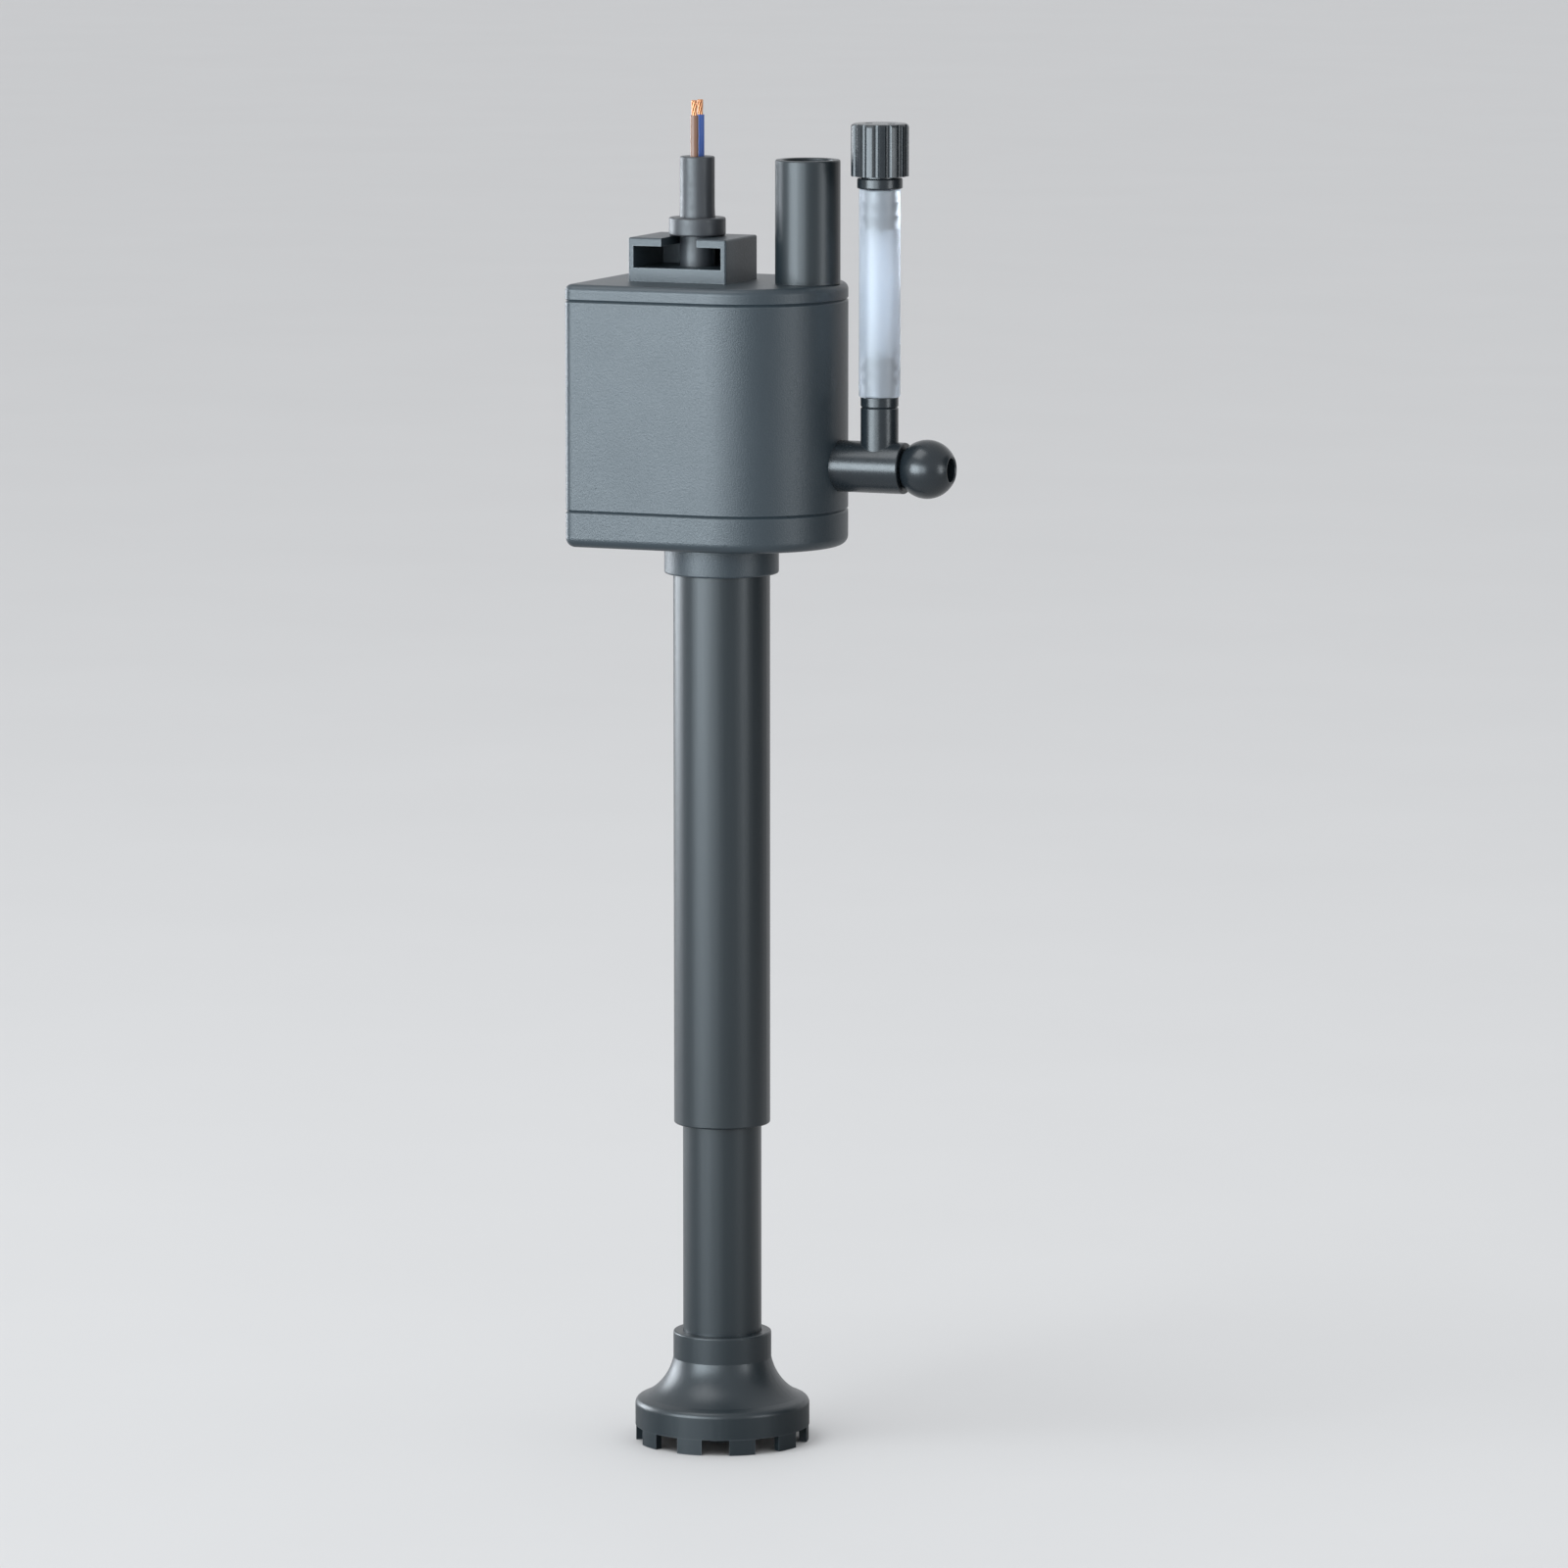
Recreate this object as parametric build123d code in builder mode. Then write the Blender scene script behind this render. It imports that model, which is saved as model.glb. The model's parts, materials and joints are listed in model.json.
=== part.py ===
from build123d import *
import os
from math import sqrt

# An internal power filter for a small aquarium, in millimetres, +Z up.
# A sealed pump head hangs on suction cups or under a hood. Water enters the slotted foot, climbs
# a telescoping tube, passes the impeller and leaves by a ball nozzle at the side and by a riser on
# top. The spout points along +X, the suction cups along +Y.
# The origin is the middle of the grid's foot pad, on the axis that the tubes and rotor share.

# Fits
GAP = 0.05      # radial gap of pieces that are pushed together and stay put
RUN = 0.06      # radial gap of pieces that slide or turn on each other

# Body plan: a D with its flat end on the left and a half-round end on the right
BODY_LEFT = -18.8
BODY_DEPTH = 30.0
END_X = 3.8             # centre of the half-round end
WALL = 1.6
CORNER_R = 1.5
GROOVE = 0.25           # bevel on each side of a parting line

# Levels of the pump head
COLLAR_Z = 129.2        # underside of the tube socket
BASE_Z = 133.6          # underside of the base cover
PARTING_Z = 138.9       # base cover meets case
CHAMBER_Z = 139.6       # underside of the volute ring
PLATE_Z = 138.2         # underside of the chamber plate
FLOOR_Z = 145.0         # roof of the wet chamber
FLOOR_TOP_Z = 146.2     # floor of the dry motor cavity
CASE_TOP_Z = 169.6
LID_TOP_Z = 172.0

# Pump
CHAMBER_R = 9.0
VOLUTE_WALL = 1.2
DUCT_X = 13.6
DUCT_R = 2.6
NIPPLE_R = 3.7          # nipple that the riser is pushed on
NIPPLE_TOP_Z = 179.0
EYE_R = 4.2
WELL_R = 5.0
WELL_WALL = 1.0
WELL_TOP_Z = 159.2      # inside, below the bush pocket
SHAFT_R = 0.75
BUSH_R = 1.9
BUSH_LENGTH = 2.2
IMPELLER_R = 7.0
BLADE_COUNT = 6
MAGNET_R = 4.5
MAGNET_Z = 146.6
MAGNET_LENGTH = 12.0
SLEEVE_R = 1.6          # plastic sleeve of the impeller inside the magnet

# Motor
CORE_Z = 148.6
CORE_HEIGHT = 8.0
YOKE_X = -12.0
YOKE_WIDTH = 4.0
ARM_Y = 6.8             # inner face of each arm
ARM_WIDTH = 3.8
ARM_END_X = 5.0
BOBBIN_WALL = 0.6
BOBBIN_FLANGE = 0.7
WINDING = 1.5
POTTING_Z = 163.2

# Spout, ball nozzle and air branch
SPOUT_Z = 145.6
SPOUT_R = 3.75
SPOUT_END_X = 28.9
SPIGOT_R = 3.1
SPIGOT_X = 15.8
BALL_X = 32.3
BALL_R = 4.3
BALL_BORE_R = 1.75
BALL_WALL = 1.45
BEAD_R = 2.8
MIX_R = 2.25            # mixing bore of the tee, and bearing of the stem
STEM_X = 25.9
AIR_X = 24.85
AIR_R = 2.75
AIR_SEAM_Z = 154.4      # tee branch meets the air nipple
AIR_SOCKET_R = 1.95     # socket of the nipple's plug in the branch
AIR_SOCKET_Z = 150.4
AIR_BORE_R = 0.9
AIR_NECK_R = 1.6        # root of the hose barbs
HOSE_Z = 155.9
HOSE_R = 3.0
HOSE_BORE_R = 2.0
BARB_LENGTH = 5.7
HOSE_TOP_Z = 186.0

# Riser, cord and cord guide
RISER_R = 4.75
RISER_TOP_Z = 190.0
CORD_X = -4.2
CORD_Y = 1.0
CORD_R = 2.55
CORD_BOTTOM_Z = 165.5
CORD_TOP_Z = 190.0
CORE_R = 0.6            # one insulated core of the cord
CORE_SPREAD = 1.1
CORE_TOP_Z = 196.0
CORD_COLLAR_R = 4.15
CORD_COLLAR_HEIGHT = 2.6
GUIDE_X = -4.5
GUIDE_WIDTH = 15.4
GUIDE_DEPTH = 12.0
GUIDE_TOP_Z = 178.4
GUIDE_SLOT = 5.6

# Intake
UPPER_R = 7.1
UPPER_BOTTOM_Z = 47.6
UPPER_TOP_Z = 134.35
UPPER_BORE_R = 6.2
GUIDE_LENGTH = 15.9     # tighter bore at the mouth, whose top is the stop of the lower tube
LOWER_R = 5.8
LOWER_WALL = 1.0
LOWER_BOTTOM_Z = 10.6
FLANGE_LENGTH = 3.6     # piston flange on top of the lower tube
SOCKET_R = 8.4
BELL_COLLAR_R = 7.25
BELL_COLLAR_Z = 16.4
BELL_R = 12.9
BELL_WALL = 1.3
SLOT_COUNT = 10         # as wide as the teeth between them, the first one under the spout
SLOT_WIDTH = 4.1
SLOT_HEIGHT = 2.3
TOOTH_SETBACK = 0.1     # the teeth stand back a little from the skirt

# Suction cups behind the case
CUP_X = -7.5
CUP_LEVELS = (147.5, 163.5)
CUP_R = 7.5
CUP_FACE_Y = 21.0

SPOUT_AXIS = Axis((0, 0, SPOUT_Z), (1, 0, 0))
AIR_AXIS = Axis((AIR_X, 0, 0), (0, 0, 1))
BACK_Y = BODY_DEPTH / 2


def body_plan(inset=0.0):
    """The D outline of the pump head, moved inwards by inset."""
    left = BODY_LEFT + inset
    half_depth = BODY_DEPTH / 2 - inset
    with BuildSketch() as plan:
        with Locations(((left + END_X) / 2, 0)):
            Rectangle(END_X - left, 2 * half_depth)
        fillet(plan.vertices().group_by(Axis.X)[0], max(CORNER_R - inset, 0.3))
        with Locations((END_X, 0)):
            Circle(half_depth)
    return plan.sketch


def volute_plan(grow=0.0):
    """The teardrop of the impeller chamber and its outlet duct, moved outwards by grow."""
    with BuildSketch() as plan:
        Circle(CHAMBER_R + grow)
        with Locations((DUCT_X, 0)):
            Circle(DUCT_R + grow)
        make_hull()
    return plan.sketch


def layer(plan, bottom, top, mode=Mode.ADD):
    """Extrudes a plan from one level to another into the current part."""
    extrude(Plane.XY.offset(bottom) * plan, amount=top - bottom, mode=mode)


def post(x, y, radius, bottom, top, mode=Mode.ADD):
    """An upright round post, or hole, between two levels."""
    with BuildSketch() as plan:
        with Locations((x, y)):
            Circle(radius)
    layer(plan.sketch, bottom, top, mode)


def block(x, y, width, depth, bottom, top, mode=Mode.ADD):
    """An upright block, or pocket, between two levels."""
    with BuildSketch() as plan:
        with Locations((x, y)):
            Rectangle(width, depth)
    layer(plan.sketch, bottom, top, mode)


def turned(points, axis=Axis.Z, mode=Mode.ADD):
    """Revolves a closed outline of (X, Z) points about an axis that lies in the XZ plane."""
    with BuildSketch(Plane.XZ) as outline:
        with BuildLine():
            Polyline(*points, close=True)
        make_face()
    revolve(outline.sketch, axis=axis, mode=mode)


def turned_on_spout(points, mode=Mode.ADD):
    """Revolves (X, radius) points about the spout's axis."""
    turned([(x, SPOUT_Z + radius) for x, radius in points], SPOUT_AXIS, mode)


def turned_on_air(points, mode=Mode.ADD):
    """Revolves (radius, Z) points about the air branch's upright axis."""
    turned([(AIR_X + radius, z) for radius, z in points], AIR_AXIS, mode)


def barb(root, tip_z, direction):
    """Outline points of a hose barb with two teeth, from its root to its tip."""
    crest = HOSE_BORE_R - GAP
    tooth = BARB_LENGTH / 3
    points = []
    for tooth_number in (1, 2):
        level = tip_z - direction * (3 - tooth_number) * tooth
        points += [(root, level), (crest, level), (root, level + direction * tooth * 0.8)]
    return points + [(root, tip_z)]


# ---------------------------------------------------------------- pump head

with BuildPart() as motor_housing:
    layer(body_plan(), PARTING_Z, CASE_TOP_Z)
    for end_face in motor_housing.faces().filter_by(Axis.Z):
        chamfer(end_face.outer_wire().edges(), GROOVE)
    layer(body_plan(WALL), PARTING_Z, FLOOR_Z, Mode.SUBTRACT)
    layer(body_plan(WALL), FLOOR_TOP_Z, CASE_TOP_Z, Mode.SUBTRACT)
    # Volute ring, rotor well, outlet duct and spout boss
    layer(volute_plan(VOLUTE_WALL), CHAMBER_Z, FLOOR_Z)
    pocket_r, pocket_top_z = BUSH_R + 1.3, WELL_TOP_Z + BUSH_LENGTH + 1.4
    turned([
        (0, FLOOR_TOP_Z), (WELL_R + WELL_WALL, FLOOR_TOP_Z),
        (WELL_R + WELL_WALL, WELL_TOP_Z + WELL_WALL), (pocket_r, WELL_TOP_Z + WELL_WALL),
        (pocket_r, pocket_top_z), (0, pocket_top_z),
    ])
    post(DUCT_X, 0, NIPPLE_R, FLOOR_TOP_Z, NIPPLE_TOP_Z)
    boss_r, boss_end_x = SPIGOT_R + 1.3, 18.0
    turned_on_spout([(DUCT_X, 0), (DUCT_X, boss_r), (boss_end_x, boss_r), (boss_end_x, 0)])
    # Wet passages
    layer(volute_plan(), CHAMBER_Z, FLOOR_Z, Mode.SUBTRACT)
    turned([
        (0, FLOOR_Z - 1), (WELL_R, FLOOR_Z - 1), (WELL_R, WELL_TOP_Z),
        (BUSH_R + GAP, WELL_TOP_Z), (BUSH_R + GAP, WELL_TOP_Z + BUSH_LENGTH + 0.1),
        (0, WELL_TOP_Z + BUSH_LENGTH + 0.1),
    ], mode=Mode.SUBTRACT)
    post(DUCT_X, 0, DUCT_R, FLOOR_Z - 1, NIPPLE_TOP_Z, Mode.SUBTRACT)
    turned_on_spout([
        (DUCT_X, 0), (DUCT_X, DUCT_R - 0.1), (SPIGOT_X - 0.1, DUCT_R - 0.1),
        (SPIGOT_X - 0.1, SPIGOT_R + GAP), (20, SPIGOT_R + GAP), (20, 0),
    ], Mode.SUBTRACT)

with BuildPart() as top_cover:
    side, roof, base, lip = 0.8, 1.2, 2.0, 1.0
    layer(body_plan(), CASE_TOP_Z, LID_TOP_Z)
    fillet(top_cover.faces().sort_by(Axis.Z)[-1].outer_wire().edges(), 1.0)
    chamfer(top_cover.faces().sort_by(Axis.Z)[0].outer_wire().edges(), GROOVE)
    layer(body_plan(WALL + GAP), CASE_TOP_Z - WALL, CASE_TOP_Z)
    layer(body_plan(WALL + GAP + lip), CASE_TOP_Z - WALL, CASE_TOP_Z, Mode.SUBTRACT)
    # Cord guide: a box with a slotted roof, open to the front
    block(GUIDE_X, 0, GUIDE_WIDTH, GUIDE_DEPTH, LID_TOP_Z, GUIDE_TOP_Z)
    outer_edges = top_cover.edges().filter_by(
        lambda edge: edge.center().Z > LID_TOP_Z + 0.1 and abs(edge.center().X - GUIDE_X) < 8
    )
    fillet(outer_edges, 0.3)
    block(GUIDE_X, -side, GUIDE_WIDTH - 2 * side, GUIDE_DEPTH,
          LID_TOP_Z + base, GUIDE_TOP_Z - roof, Mode.SUBTRACT)
    block(CORD_X, CORD_Y - GUIDE_DEPTH / 2, GUIDE_SLOT, GUIDE_DEPTH,
          GUIDE_TOP_Z - roof, GUIDE_TOP_Z, Mode.SUBTRACT)
    post(CORD_X, CORD_Y, GUIDE_SLOT / 2, GUIDE_TOP_Z - roof, GUIDE_TOP_Z, Mode.SUBTRACT)
    # Holes for the riser nipple and the cord
    for x, y, radius in ((DUCT_X, 0, NIPPLE_R + GAP), (CORD_X, CORD_Y, CORD_R + GAP)):
        post(x, y, radius, CASE_TOP_Z - WALL, LID_TOP_Z + base, Mode.SUBTRACT)

with BuildPart() as base_cover:
    layer(body_plan(), BASE_Z, PARTING_Z)
    fillet(base_cover.faces().sort_by(Axis.Z)[0].outer_wire().edges(), 1.4)
    chamfer(base_cover.faces().sort_by(Axis.Z)[-1].outer_wire().edges(), GROOVE)
    layer(body_plan(WALL), BASE_Z + WALL, PARTING_Z, Mode.SUBTRACT)
    # Lip that snaps inside the case, left out where the duct's block stands
    lip, lip_height = 0.8, 1.7
    with BuildSketch(Plane.XY.offset(BASE_Z + WALL)):
        add(body_plan(WALL + GAP))
        add(body_plan(WALL + GAP + lip), mode=Mode.SUBTRACT)
        with Locations((15, 0)):
            Rectangle(10, BODY_DEPTH, mode=Mode.SUBTRACT)
    extrude(amount=PARTING_Z + lip_height - BASE_Z - WALL)
    # Tube socket below, and above it the ring that carries the chamber plate
    post(0, 0, SOCKET_R, COLLAR_Z, PLATE_Z - GAP)
    fillet(base_cover.faces().sort_by(Axis.Z)[0].outer_wire().edges(), 0.3)
    throat_r, ring_bore_r = UPPER_R - 1.3, UPPER_R - 0.1
    turned([
        (0, COLLAR_Z - 1), (UPPER_R + GAP, COLLAR_Z - 1), (UPPER_R + GAP, UPPER_TOP_Z + GAP),
        (throat_r, UPPER_TOP_Z + GAP), (throat_r, BASE_Z + WALL), (ring_bore_r, BASE_Z + WALL),
        (ring_bore_r, PARTING_Z), (0, PARTING_Z),
    ], mode=Mode.SUBTRACT)

with BuildPart() as chamber_plate:
    hub_r, groove_z = BUSH_R + 0.7, CHAMBER_Z - 0.6
    layer(volute_plan(0.9), PLATE_Z, CHAMBER_Z)
    layer(volute_plan(0.7), groove_z, CHAMBER_Z, Mode.SUBTRACT)
    layer(volute_plan(0.2), groove_z, CHAMBER_Z)
    post(0, 0, EYE_R, PLATE_Z, CHAMBER_Z, Mode.SUBTRACT)
    # Spider that holds the lower bush in the eye
    with BuildSketch(Plane.XY.offset(PLATE_Z)):
        with PolarLocations(EYE_R / 2, 3, start_angle=90):
            Rectangle(EYE_R + 0.4, 1.1)
    extrude(amount=CHAMBER_Z - PLATE_Z)
    post(0, 0, hub_r, PLATE_Z - 0.8, CHAMBER_Z)
    post(0, 0, BUSH_R + GAP, PLATE_Z - 0.3, CHAMBER_Z, Mode.SUBTRACT)

with BuildPart() as chamber_o_ring:
    ring_z, ring_top_z = groove_z + 0.03, CHAMBER_Z - 0.03
    layer(volute_plan(0.67), ring_z, ring_top_z)
    layer(volute_plan(0.23), ring_z, ring_top_z, Mode.SUBTRACT)

# ---------------------------------------------------------------- rotor

LOWER_BUSH_Z = PLATE_Z - 0.25
SHAFT_Z = LOWER_BUSH_Z + 0.4
SHAFT_TOP_Z = WELL_TOP_Z + BUSH_LENGTH - 0.2
SHAFT_HOLE_R = SHAFT_R + 0.02

with BuildPart() as lower_bush:
    turned([
        (0, LOWER_BUSH_Z), (BUSH_R, LOWER_BUSH_Z), (BUSH_R, CHAMBER_Z), (SHAFT_HOLE_R, CHAMBER_Z),
        (SHAFT_HOLE_R, SHAFT_Z - 0.03), (0, SHAFT_Z - 0.03),
    ])

with BuildPart() as upper_bush:
    turned([
        (SHAFT_HOLE_R, WELL_TOP_Z + 0.05), (BUSH_R, WELL_TOP_Z + 0.05),
        (BUSH_R, WELL_TOP_Z + BUSH_LENGTH), (0, WELL_TOP_Z + BUSH_LENGTH),
        (0, SHAFT_TOP_Z + 0.03), (SHAFT_HOLE_R, SHAFT_TOP_Z + 0.03),
    ])

with BuildPart() as ceramic_shaft:
    post(0, 0, SHAFT_R, SHAFT_Z, SHAFT_TOP_Z)
    chamfer(ceramic_shaft.edges().filter_by(GeomType.CIRCLE), 0.15)

with BuildPart() as rotor_magnet:
    post(0, 0, MAGNET_R, MAGNET_Z, MAGNET_Z + MAGNET_LENGTH)
    post(0, 0, SLEEVE_R + 0.02, MAGNET_Z, MAGNET_Z + MAGNET_LENGTH, Mode.SUBTRACT)
    rim = rotor_magnet.edges().filter_by(GeomType.CIRCLE).filter_by(lambda edge: edge.radius > 4)
    chamfer(rim, 0.3)

with BuildPart() as impeller:
    blade_z, disc_z, disc_top_z = 140.2, 143.5, 144.3
    hub_r, seat_r = 2.4, 4.2
    blade_root, blade_width = 2.0, 0.7
    sleeve_top_z = MAGNET_Z + MAGNET_LENGTH + 0.2
    turned([
        (0, blade_z), (hub_r, blade_z), (hub_r, disc_z), (IMPELLER_R, disc_z),
        (IMPELLER_R, disc_top_z), (seat_r, disc_top_z), (seat_r, MAGNET_Z - GAP),
        (SLEEVE_R, MAGNET_Z - GAP), (SLEEVE_R, sleeve_top_z), (0, sleeve_top_z),
    ])
    with BuildSketch(Plane.XY.offset(blade_z)):
        with PolarLocations((blade_root + IMPELLER_R) / 2, BLADE_COUNT):
            Rectangle(IMPELLER_R - blade_root - 0.1, blade_width)
    extrude(amount=disc_z - blade_z)
    post(0, 0, SHAFT_R + RUN, blade_z, sleeve_top_z, Mode.SUBTRACT)

# ---------------------------------------------------------------- motor

with BuildPart() as stator_core:
    yoke_left = YOKE_X - YOKE_WIDTH / 2
    yoke_right = YOKE_X + YOKE_WIDTH / 2
    shoe_x = WELL_R + WELL_WALL - 1.0
    with BuildSketch(Plane.XY.offset(CORE_Z)):
        with BuildLine():
            Polyline(
                (yoke_left, GAP / 2), (yoke_left, ARM_Y + ARM_WIDTH),
                (ARM_END_X, ARM_Y + ARM_WIDTH), (ARM_END_X, 3.6), (-shoe_x, 3.6),
                (-shoe_x, ARM_Y), (yoke_right, ARM_Y), (yoke_right, GAP / 2), close=True,
            )
        make_face()
        Circle(WELL_R + WELL_WALL + 0.1, mode=Mode.SUBTRACT)
    extrude(amount=CORE_HEIGHT)
    mirror(about=Plane.XZ)


def around_yoke(clearance):
    """A rectangle around the yoke's section, as seen along the coil's axis."""
    with BuildSketch() as section:
        with Locations((YOKE_X, CORE_Z + CORE_HEIGHT / 2)):
            Rectangle(YOKE_WIDTH + 2 * clearance, CORE_HEIGHT + 2 * clearance)
    return section.sketch


def coil_layer(inner, outer, half_length):
    """A rectangular tube around the yoke, centred on the body's middle plane."""
    extrude(Plane.XZ * around_yoke(outer), amount=half_length, both=True)
    extrude(Plane.XZ * around_yoke(inner), amount=half_length, both=True, mode=Mode.SUBTRACT)


coil_half = ARM_Y - 0.1
spool = BOBBIN_WALL + GAP

with BuildPart() as coil_bobbin:
    coil_layer(0, spool + WINDING, coil_half)
    extrude(Plane.XZ * around_yoke(spool + WINDING), amount=coil_half - BOBBIN_FLANGE,
            both=True, mode=Mode.SUBTRACT)
    extrude(Plane.XZ * around_yoke(spool), amount=coil_half, both=True)
    extrude(Plane.XZ * around_yoke(GAP), amount=coil_half, both=True, mode=Mode.SUBTRACT)

with BuildPart() as coil_winding:
    coil_layer(0, spool + WINDING - 0.15, coil_half - BOBBIN_FLANGE - 0.03)
    fillet(coil_winding.edges().filter_by(Axis.Y), 0.8)
    extrude(Plane.XZ * around_yoke(spool + 0.02), amount=coil_half, both=True, mode=Mode.SUBTRACT)


def core_path(side):
    """One core's way from the cord's top end down to the coil."""
    y = CORD_Y + side * CORE_SPREAD
    turn_z = CORD_BOTTOM_Z - 1.2
    coil_top_z = CORE_Z + CORE_HEIGHT + spool + WINDING
    coil_x = YOKE_X + 1
    with BuildLine() as path:
        FilletPolyline(
            (CORD_X, y, CORE_TOP_Z), (CORD_X, y, turn_z), (coil_x, y, turn_z),
            (coil_x, y, coil_top_z + GAP), radius=1.0,
        )
    return path.line


def draw_cores(radius, mode=Mode.ADD):
    """Sweeps both cores of the cord into the current part."""
    for side in (-1, 1):
        path = core_path(side)
        with BuildSketch(Plane(origin=path @ 0, z_dir=path % 0)) as section:
            Circle(radius)
        sweep(section.sketch, path=path, mode=mode)


with BuildPart() as cord_conductors:
    draw_cores(CORE_R)

with BuildPart() as potting_cap:
    layer(body_plan(WALL + GAP), POTTING_Z, CASE_TOP_Z - WALL - 0.1)
    post(DUCT_X, 0, NIPPLE_R + GAP, POTTING_Z, CASE_TOP_Z, Mode.SUBTRACT)
    post(CORD_X, CORD_Y, CORD_R + GAP, CORD_BOTTOM_Z - GAP, CASE_TOP_Z, Mode.SUBTRACT)
    draw_cores(CORE_R + GAP, Mode.SUBTRACT)

with BuildPart() as power_cord:
    post(CORD_X, CORD_Y, CORD_R, CORD_BOTTOM_Z, CORD_TOP_Z)
    fillet(power_cord.edges().group_by(Axis.Z)[-1], 0.2)
    for side in (-1, 1):
        post(CORD_X, CORD_Y + side * CORE_SPREAD, CORE_R + GAP, CORD_BOTTOM_Z, CORD_TOP_Z,
             Mode.SUBTRACT)

with BuildPart() as cord_collar:
    collar_z = GUIDE_TOP_Z + 0.1
    post(CORD_X, CORD_Y, CORD_COLLAR_R, collar_z, collar_z + CORD_COLLAR_HEIGHT)
    fillet(cord_collar.edges(), 0.25)
    post(CORD_X, CORD_Y, CORD_R + 0.02, collar_z, collar_z + CORD_COLLAR_HEIGHT, Mode.SUBTRACT)

# ---------------------------------------------------------------- outlets

with BuildPart() as outlet_riser:
    riser_z = LID_TOP_Z + GAP
    post(DUCT_X, 0, RISER_R, riser_z, RISER_TOP_Z)
    post(DUCT_X, 0, NIPPLE_R + GAP, riser_z, RISER_TOP_Z, Mode.SUBTRACT)
    fillet(outlet_riser.edges().group_by(Axis.Z)[-1], 0.25)

with BuildPart() as venturi_tee:
    # Main tube, saddled against the half-round end, with its spigot
    saddle_x, ring_groove_x, ring_groove_r = 17.4, 16.95, SPIGOT_R - 0.55
    turned_on_spout([
        (saddle_x, 0), (saddle_x, SPOUT_R), (SPOUT_END_X, SPOUT_R), (SPOUT_END_X, 0),
    ])
    fillet(venturi_tee.edges().group_by(Axis.X)[-1], 0.2)
    post(END_X, 0, BACK_Y + 0.03, SPOUT_Z - 5, SPOUT_Z + 5, Mode.SUBTRACT)
    turned_on_spout([(SPIGOT_X, 0), (SPIGOT_X, SPIGOT_R), (20, SPIGOT_R), (20, 0)])
    turned_on_spout([
        (ring_groove_x, SPIGOT_R + 1), (ring_groove_x, ring_groove_r),
        (ring_groove_x + 0.7, ring_groove_r), (ring_groove_x + 0.7, SPIGOT_R + 1),
    ], Mode.SUBTRACT)
    # Air branch
    post(AIR_X, 0, AIR_R, SPOUT_Z, AIR_SEAM_Z)
    chamfer(venturi_tee.edges().group_by(Axis.Z)[-1], 0.18)
    # Venturi bore, bearing and snap groove for the stem, and cup for the ball
    inlet_r, throat_r, throat_x, bearing_x = 1.9, 1.2, 23.2, 24.0
    turned_on_spout([
        (SPIGOT_X - 1, 0), (SPIGOT_X - 1, inlet_r), (21.5, inlet_r), (throat_x, throat_r),
        (bearing_x, throat_r), (bearing_x, MIX_R), (STEM_X + 0.1, MIX_R),
        (STEM_X + 0.1, MIX_R + 0.25), (STEM_X + 0.9, MIX_R + 0.25), (STEM_X + 0.9, MIX_R),
        (SPOUT_END_X, MIX_R), (SPOUT_END_X, 0),
    ], Mode.SUBTRACT)
    with Locations((BALL_X, 0, SPOUT_Z)):
        Sphere(BALL_R + GAP, mode=Mode.SUBTRACT)
    post(AIR_X, 0, 1.0, SPOUT_Z, AIR_SOCKET_Z, Mode.SUBTRACT)
    post(AIR_X, 0, AIR_SOCKET_R, AIR_SOCKET_Z, AIR_SEAM_Z, Mode.SUBTRACT)

with BuildPart() as tee_o_ring:
    with BuildSketch(Plane.XZ):
        with Locations((ring_groove_x + 0.35, SPOUT_Z + SPIGOT_R - 0.25)):
            Circle(0.28)
    revolve(axis=SPOUT_AXIS)

with BuildPart() as swivel_stem:
    neck_r, snap_r, bead_front_x = 1.5, MIX_R + 0.18, BALL_X + 1.3
    turned_on_spout([
        (STEM_X, 0), (STEM_X, MIX_R - GAP), (STEM_X + 0.17, MIX_R - GAP),
        (STEM_X + 0.17, snap_r), (STEM_X + 0.83, snap_r), (STEM_X + 0.83, MIX_R - GAP),
        (27.4, MIX_R - GAP), (27.6, neck_r), (BALL_X, neck_r), (BALL_X, 0),
    ])
    with Locations((BALL_X, 0, SPOUT_Z)):
        Sphere(BEAD_R)
    split(bisect_by=Plane.YZ.offset(bead_front_x), keep=Keep.BOTTOM)
    turned_on_spout([(STEM_X - 1, 0), (STEM_X - 1, 1.0), (36, 1.0), (36, 0)], Mode.SUBTRACT)

with BuildPart() as ball_nozzle:
    mouth_land_r, lip_r = 2.05, BALL_BORE_R + 0.15
    ball_front_x = BALL_X + sqrt(BALL_R ** 2 - mouth_land_r ** 2)
    with Locations((BALL_X, 0, SPOUT_Z)):
        Sphere(BALL_R)
        Sphere(BALL_R - BALL_WALL, mode=Mode.SUBTRACT)
    split(bisect_by=Plane.YZ.offset(ball_front_x), keep=Keep.BOTTOM)
    turned_on_spout([
        (BALL_X, 0), (BALL_X, BALL_BORE_R), (ball_front_x - 0.15, BALL_BORE_R),
        (ball_front_x, lip_r), (ball_front_x, 0),
    ], Mode.SUBTRACT)
    # Rear opening, coned so that the ball can tilt about the stem's neck
    turned_on_spout([
        (BALL_X - 1.2, 0), (BALL_X - 1.2, 2.2), (BALL_X - 4.4, 2.86), (BALL_X - 4.4, 0),
    ], Mode.SUBTRACT)

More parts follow.
